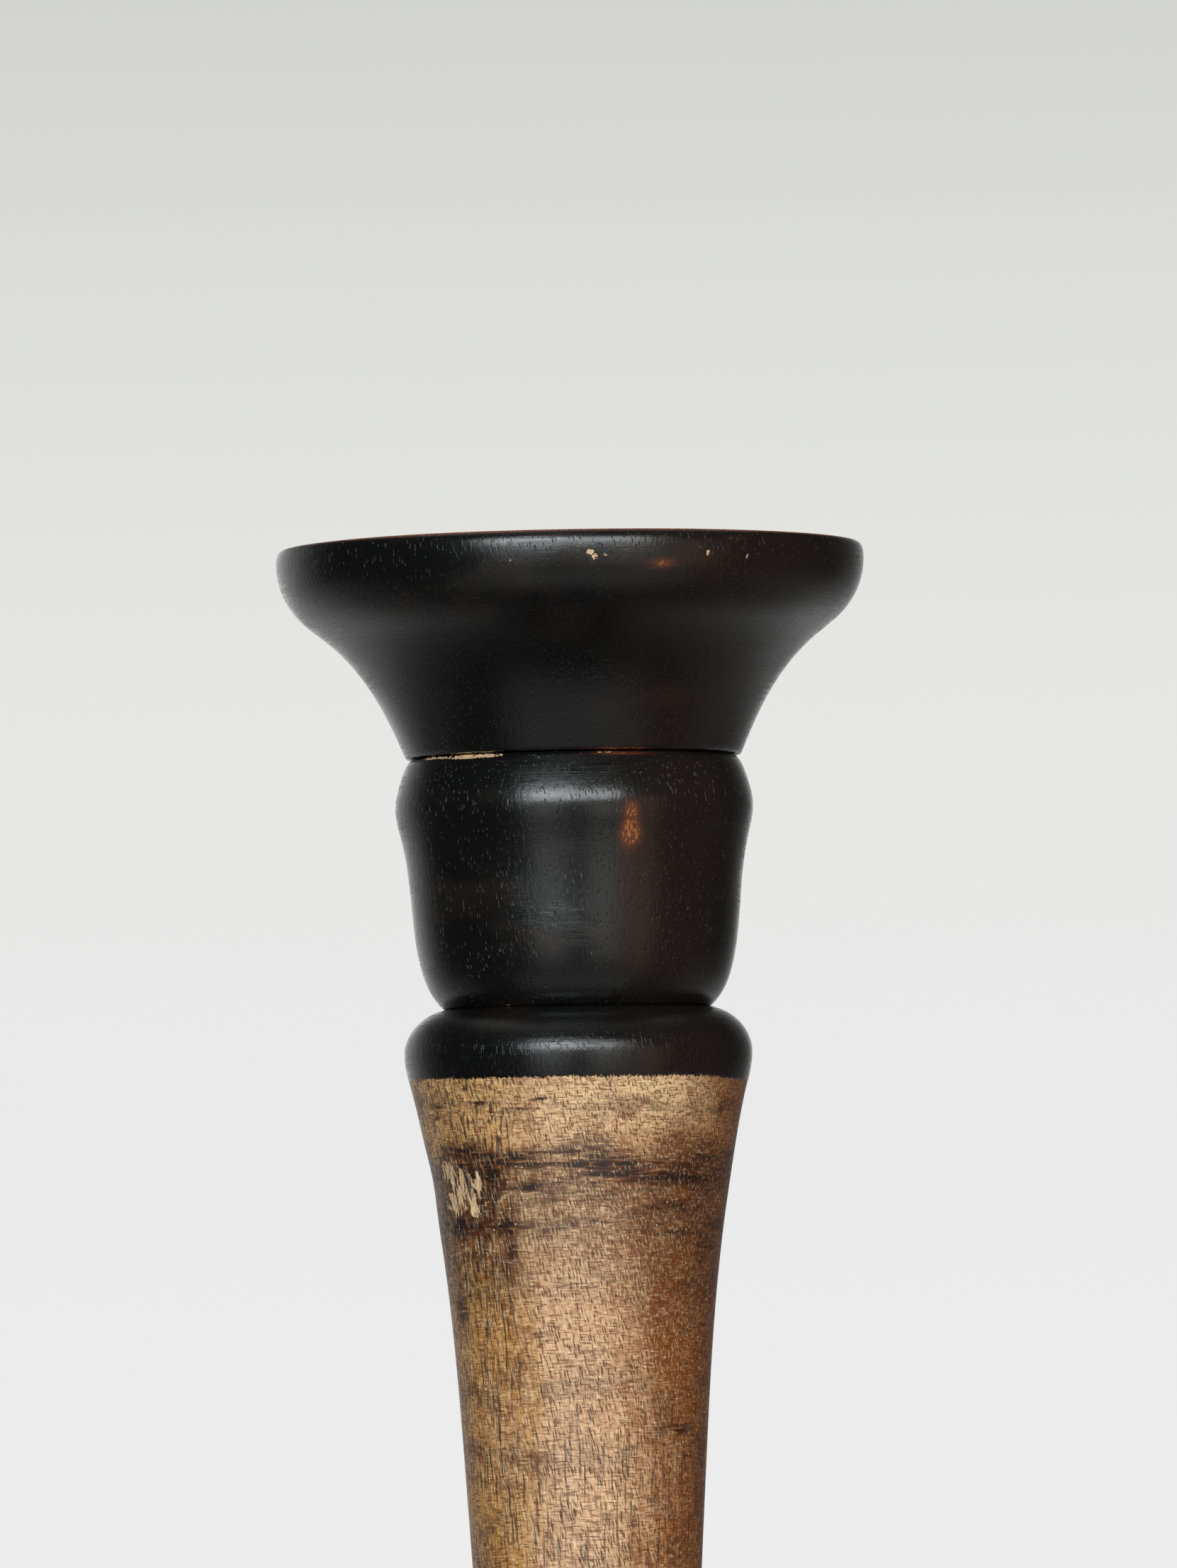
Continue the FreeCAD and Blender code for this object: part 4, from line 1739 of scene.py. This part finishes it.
@dataclass(frozen=True)
class DowelWood(Finish):
    """Bare pale hardwood."""

    name: str = "dowel wood"
    relief: float = 0.04
    light: Colour = tint(214, 184, 140)
    dark: Colour = tint(166, 128, 84)

    def lay_on(self, sheet: MaterialSheet) -> None:
        """Makes the dowels' finish.

        Args:
            sheet: the new material's sheet.
        """
        fibres = sheet.cloud((0.4, 0.4, 8.0), 3.0)
        sheet.colour = self.light
        sheet.coat(sheet.rise(fibres, 0.4, 0.65), self.dark)
        sheet.bump(fibres, self.relief)
        sheet.finish(sheet.rise(fibres, 0.3, 0.7, 0.6, 0.72))


@dataclass
class Hardware:
    """Pieces sealed inside the wood, which keep their CAD shapes and get their finishes."""

    steel: tuple[str, ...] = ("tie_rod", "top_washer", "top_nut", "foot_washer", "foot_nut")
    wooden: tuple[str, ...] = ("foot_dowels",)

    def dress(self) -> list[bpy.types.Object]:
        """Puts the steel and dowel finishes on.

        Returns:
            The dressed pieces.
        """
        dressed = []
        for nodes, finish in ((self.steel, ZincSteel()), (self.wooden, DowelWood())):
            material = finish.material()
            for node in nodes:
                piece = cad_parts[node]
                piece.data.materials.clear()
                piece.data.materials.append(material)
                dressed.append(piece)
        return dressed


# ---------------------------------------------------------------- studio


@dataclass(frozen=True)
class Tone:
    """The backdrop's painted glow at a height, a painted shade that darkens upwards. The height is in
    metres.
    """

    height: float
    shade: Colour


@dataclass
class Backdrop:
    """A pale floor that curves up all round into a wall. Sizes are in metres."""

    floor_radius: float = 6.4
    wall_radius: float = 8.0
    wall_height: float = 7.0
    floor_rings: tuple[float, ...] = (0.1, 0.3, 0.8, 2.0, 4.0)
    bend_rows: int = 25
    segments: int = 96
    painted_glow_tones: tuple[Tone, ...] = (
        Tone(0.0, tint(237, 237, 237)),
        Tone(0.45, tint(233, 233, 233)),
        Tone(0.69, tint(230, 230, 227)),
        Tone(0.82, tint(226, 227, 222)),
        Tone(1.00, tint(220, 221, 216)),
        Tone(1.23, tint(211, 212, 207)),
        Tone(2.40, tint(196, 197, 192)),
    )
    shadow_radius: float = 0.25
    shadow_fade: float = 1.3
    shadow_glow: float = 0.6
    paper_shade: Colour = tint(222, 222, 222)

    def build(self) -> bpy.types.Object:
        """Makes the backdrop, hidden from diffuse, glossy and shadow rays.

        Returns:
            The backdrop.
        """
        bend = self.wall_radius - self.floor_radius
        rows = [(radius, 0.0) for radius in self.floor_rings]
        for turn in np.linspace(0, math.pi / 2, self.bend_rows):
            rows.append((self.floor_radius + bend * math.sin(turn), bend * (1 - math.cos(turn))))
        rows += [(self.wall_radius, bend + 1.0), (self.wall_radius, self.wall_height)]
        around = np.linspace(0, 2 * math.pi, self.segments, endpoint=False)
        points = [(0.0, 0.0, 0.0)]
        points += [(r * math.cos(a), r * math.sin(a), z) for r, z in rows for a in around]
        sides = [(j, (j + 1) % self.segments) for j in range(self.segments)]
        faces: list[tuple[int, ...]] = [(0, 1 + j, 1 + k) for j, k in sides]
        for row in range(len(rows) - 1):
            low = 1 + row * self.segments
            high = low + self.segments
            faces += [(low + j, high + j, high + k, low + k) for j, k in sides]
        backdrop = new_piece("backdrop", points, faces)
        backdrop.visible_diffuse = False
        backdrop.visible_glossy = False
        backdrop.visible_shadow = False
        backdrop.data.materials.append(self.paper())
        return backdrop

    def paper(self) -> bpy.types.Material:
        """The backdrop's paper: a painted glow, darker higher up, with lit paper mixed in near the
        object, which takes soft shadows.

        Returns:
            The paper's material.
        """
        sheet = MaterialSheet("backdrop paper")
        x, y, z = sheet.axes()
        ramp = sheet.node("ShaderNodeValToRGB")
        highest = self.painted_glow_tones[-1].height
        sheet.feed(ramp.inputs[0], sheet.product(z, MM / highest))
        stops = ramp.color_ramp.elements
        stops[1].position = 1.0
        stops[0].color = (*self.painted_glow_tones[0].shade, 1.0)
        stops[1].color = (*self.painted_glow_tones[-1].shade, 1.0)
        for tone in self.painted_glow_tones[1:-1]:
            stops.new(tone.height / highest).color = (*tone.shade, 1.0)
        # Painted light: the paper glows by itself, painted darker higher up.
        glow = sheet.node("ShaderNodeEmission")
        sheet.feed(glow.inputs["Color"], ramp.outputs[0])
        paper = sheet.node("ShaderNodeBsdfDiffuse")
        sheet.feed(paper.inputs["Color"], self.paper_shade)
        radius = sheet.maths("SQRT", sheet.total(sheet.product(x, x), sheet.product(y, y)))
        share = sheet.rise(radius, self.shadow_radius / MM, self.shadow_fade / MM, self.shadow_glow)
        mix = sheet.node("ShaderNodeMixShader")
        sheet.feed(mix.inputs[0], share)
        sheet.feed(mix.inputs[1], paper.outputs[0])
        sheet.feed(mix.inputs[2], glow.outputs[0])
        sheet.feed(sheet.output.inputs["Surface"], mix.outputs[0])
        sheet.tree.nodes.remove(sheet.shader)
        return sheet.material


@dataclass(frozen=True)
class Panel:
    """A soft-edged patch of light far off. Angles in degrees: azimuth from -Y towards +X, and height."""

    azimuth: float
    elevation: float
    half_width: float
    half_height: float
    softness: float
    brightness: float
    shade: Colour = (1.0, 1.0, 1.0)

    def glow(self, sheet: NodeSheet, azimuth: Socket, elevation: Socket) -> Socket:
        """The panel's light in each direction.

        Args:
            sheet: the surroundings' node sheet.
            azimuth: the direction's azimuth.
            elevation: its elevation.

        Returns:
            The light as a colour.
        """
        turn = sheet.maths("WRAP", sheet.maths("SUBTRACT", azimuth, self.azimuth), 180.0, -180.0)
        lift = sheet.maths("SUBTRACT", elevation, self.elevation)
        inside = sheet.product(
            self.within(sheet, turn, self.half_width), self.within(sheet, lift, self.half_height)
        )
        return sheet.vector("SCALE", self.shade, scale=sheet.product(inside, self.brightness))

    def within(self, sheet: NodeSheet, offset: Socket, half: float) -> Socket:
        """1 inside the panel's extent, falling softly to 0 outside it."""
        return sheet.rise(sheet.maths("ABSOLUTE", offset), half + self.softness, half - self.softness)


@dataclass(frozen=True)
class Surroundings:
    """The room's light: a window in front, dim screens below it, and soft light from behind.

    A direction's X points right, its Y away from the front, its Z up.
    """

    panels: tuple[Panel, ...] = (
        Panel(-17.0, 14.0, 15.0, 9.0, 3.0, 12.0, (0.94, 0.98, 1.0)),
        Panel(13.0, 13.0, 16.0, 8.0, 3.0, 8.0, (0.96, 0.99, 1.0)),
        Panel(-19.0, -13.0, 12.0, 12.0, 5.0, 1.0),
        Panel(20.0, -13.0, 12.0, 12.0, 5.0, 1.0, (1.0, 0.98, 0.95)),
        Panel(47.0, -10.0, 9.0, 18.0, 6.0, 0.7, (1.0, 0.6, 0.38)),
        Panel(80.0, 0.0, 34.0, 40.0, 16.0, 0.085, (1.0, 0.6, 0.34)),
        Panel(0.0, -46.0, 50.0, 12.0, 12.0, 0.4),
        Panel(180.0, 4.0, 16.0, 8.0, 8.0, 0.7),
        Panel(180.0, 64.0, 80.0, 10.0, 8.0, 0.25),
    )
    ambient: float = 0.03
    backlight: float = 0.7
    floor_light: float = 0.2
    ceiling_light: float = 0.5

    def light(self) -> None:
        """Makes the world's shader."""
        world = bpy.data.worlds.new("surroundings")
        world.use_nodes = True
        bpy.context.scene.world = world
        sheet = NodeSheet(world.node_tree)
        x, y, z = sheet.axes(sheet.node("ShaderNodeTexCoord").outputs["Generated"])
        azimuth = sheet.product(sheet.maths("ARCTAN2", x, sheet.product(y, -1.0)), math.degrees(1))
        elevation = sheet.product(sheet.maths("ARCSINE", z), math.degrees(1))
        leftward = sheet.rise(x, 0.7, -0.4, 0.2, 1.08)
        low = sheet.either(sheet.rise(z, -0.05, -0.4), leftward, 0.72)
        beyond = sheet.maths("SUBTRACT", y, sheet.product(sheet.greatest(x, 0.0), 0.2))
        level = sheet.rise(z, 0.12, 0.5, 1.0, 0.15)
        behind = sheet.product(sheet.rise(beyond, 0.35, 1.0), low, level, self.backlight)
        floor = sheet.product(sheet.rise(z, -0.2, -0.5), sheet.rise(y, -0.2, 0.6), self.floor_light)
        ceiling = sheet.product(sheet.rise(z, 0.7, 0.95), leftward, self.ceiling_light)
        plain = sheet.total(behind, floor, ceiling, self.ambient)
        light = sheet.vector("SCALE", (1.0, 1.0, 1.0), scale=plain)
        for panel in self.panels:
            light = sheet.vector("ADD", light, panel.glow(sheet, azimuth, elevation))
        background = next(n for n in sheet.tree.nodes if n.type == "BACKGROUND")
        sheet.feed(background.inputs["Color"], light)


@dataclass
class Camera:
    """A long lens a couple of metres away, a little below the rim. Lengths in metres."""

    distance: float = 1.993
    below_rim: float = 0.1246
    aside: float = 0.0023
    pitch: float = 2.513
    roll: float = 1.0
    lens: float = 292.9
    sensor: float = 36.0
    nearest: float = 0.05
    farthest: float = 40.0

    def place(self) -> bpy.types.Object:
        """Makes the scene's camera.

        Returns:
            The camera.
        """
        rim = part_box("flared_cup")[1].z
        pitch, roll = math.radians(self.pitch), math.radians(self.roll)
        forward = Vector((0.0, math.cos(pitch), math.sin(pitch)))
        level, upright = Vector((1.0, 0.0, 0.0)), Vector((0.0, -math.sin(pitch), math.cos(pitch)))
        right = level * math.cos(roll) - upright * math.sin(roll)
        up = level * math.sin(roll) + upright * math.cos(roll)
        lens = bpy.data.cameras.new("camera")
        lens.lens = self.lens
        lens.sensor_width = self.sensor
        lens.clip_start, lens.clip_end = self.nearest, self.farthest
        camera = bpy.data.objects.new("camera", lens)
        facing = Matrix((right, up, -forward)).transposed().to_4x4()
        facing.translation = Vector((self.aside, -self.distance, rim - self.below_rim))
        camera.matrix_world = facing
        bpy.context.scene.collection.objects.link(camera)
        bpy.context.scene.camera = camera
        return camera


def main() -> None:
    """Builds every piece, then the studio around it."""
    logging.basicConfig(level=logging.INFO, format="%(name)s %(message)s")
    turnings: tuple[tuple[Turning, Finish], ...] = (
        (FlaredCup(), Ebonised("ebonised cup", dustiness=0.12)),
        (Collar(), Ebonised("ebonised collar", dustiness=0.6)),
        (Stem(), SmokedStem()),
        (Foot(), Ebonised("ebonised foot", dustiness=0.35)),
        (WellLiner(), AgedBrass()),
        (CorkDisc(name="well_pad_cork", nodes=("well_pad",), body=Body.LINER), PressedCork()),
        (CorkDisc(name="base_pad_cork", nodes=("base_pad",)), PressedCork()),
    )
    pieces = [turning.build(finish) for turning, finish in turnings]
    pieces += Hardware().dress()
    pieces.append(Backdrop().build())
    for piece in pieces:
        mesh = piece.data
        LOG.info("%s: %d faces, %s", piece.name, len(mesh.polygons), mesh.materials[0].name)
    Surroundings().light()
    camera = Camera().place()
    LOG.info("%s: %.1f mm lens", camera.name, camera.data.lens)
    bpy.context.scene.view_settings.view_transform = "Standard"


if __name__ == "__main__":
    main()
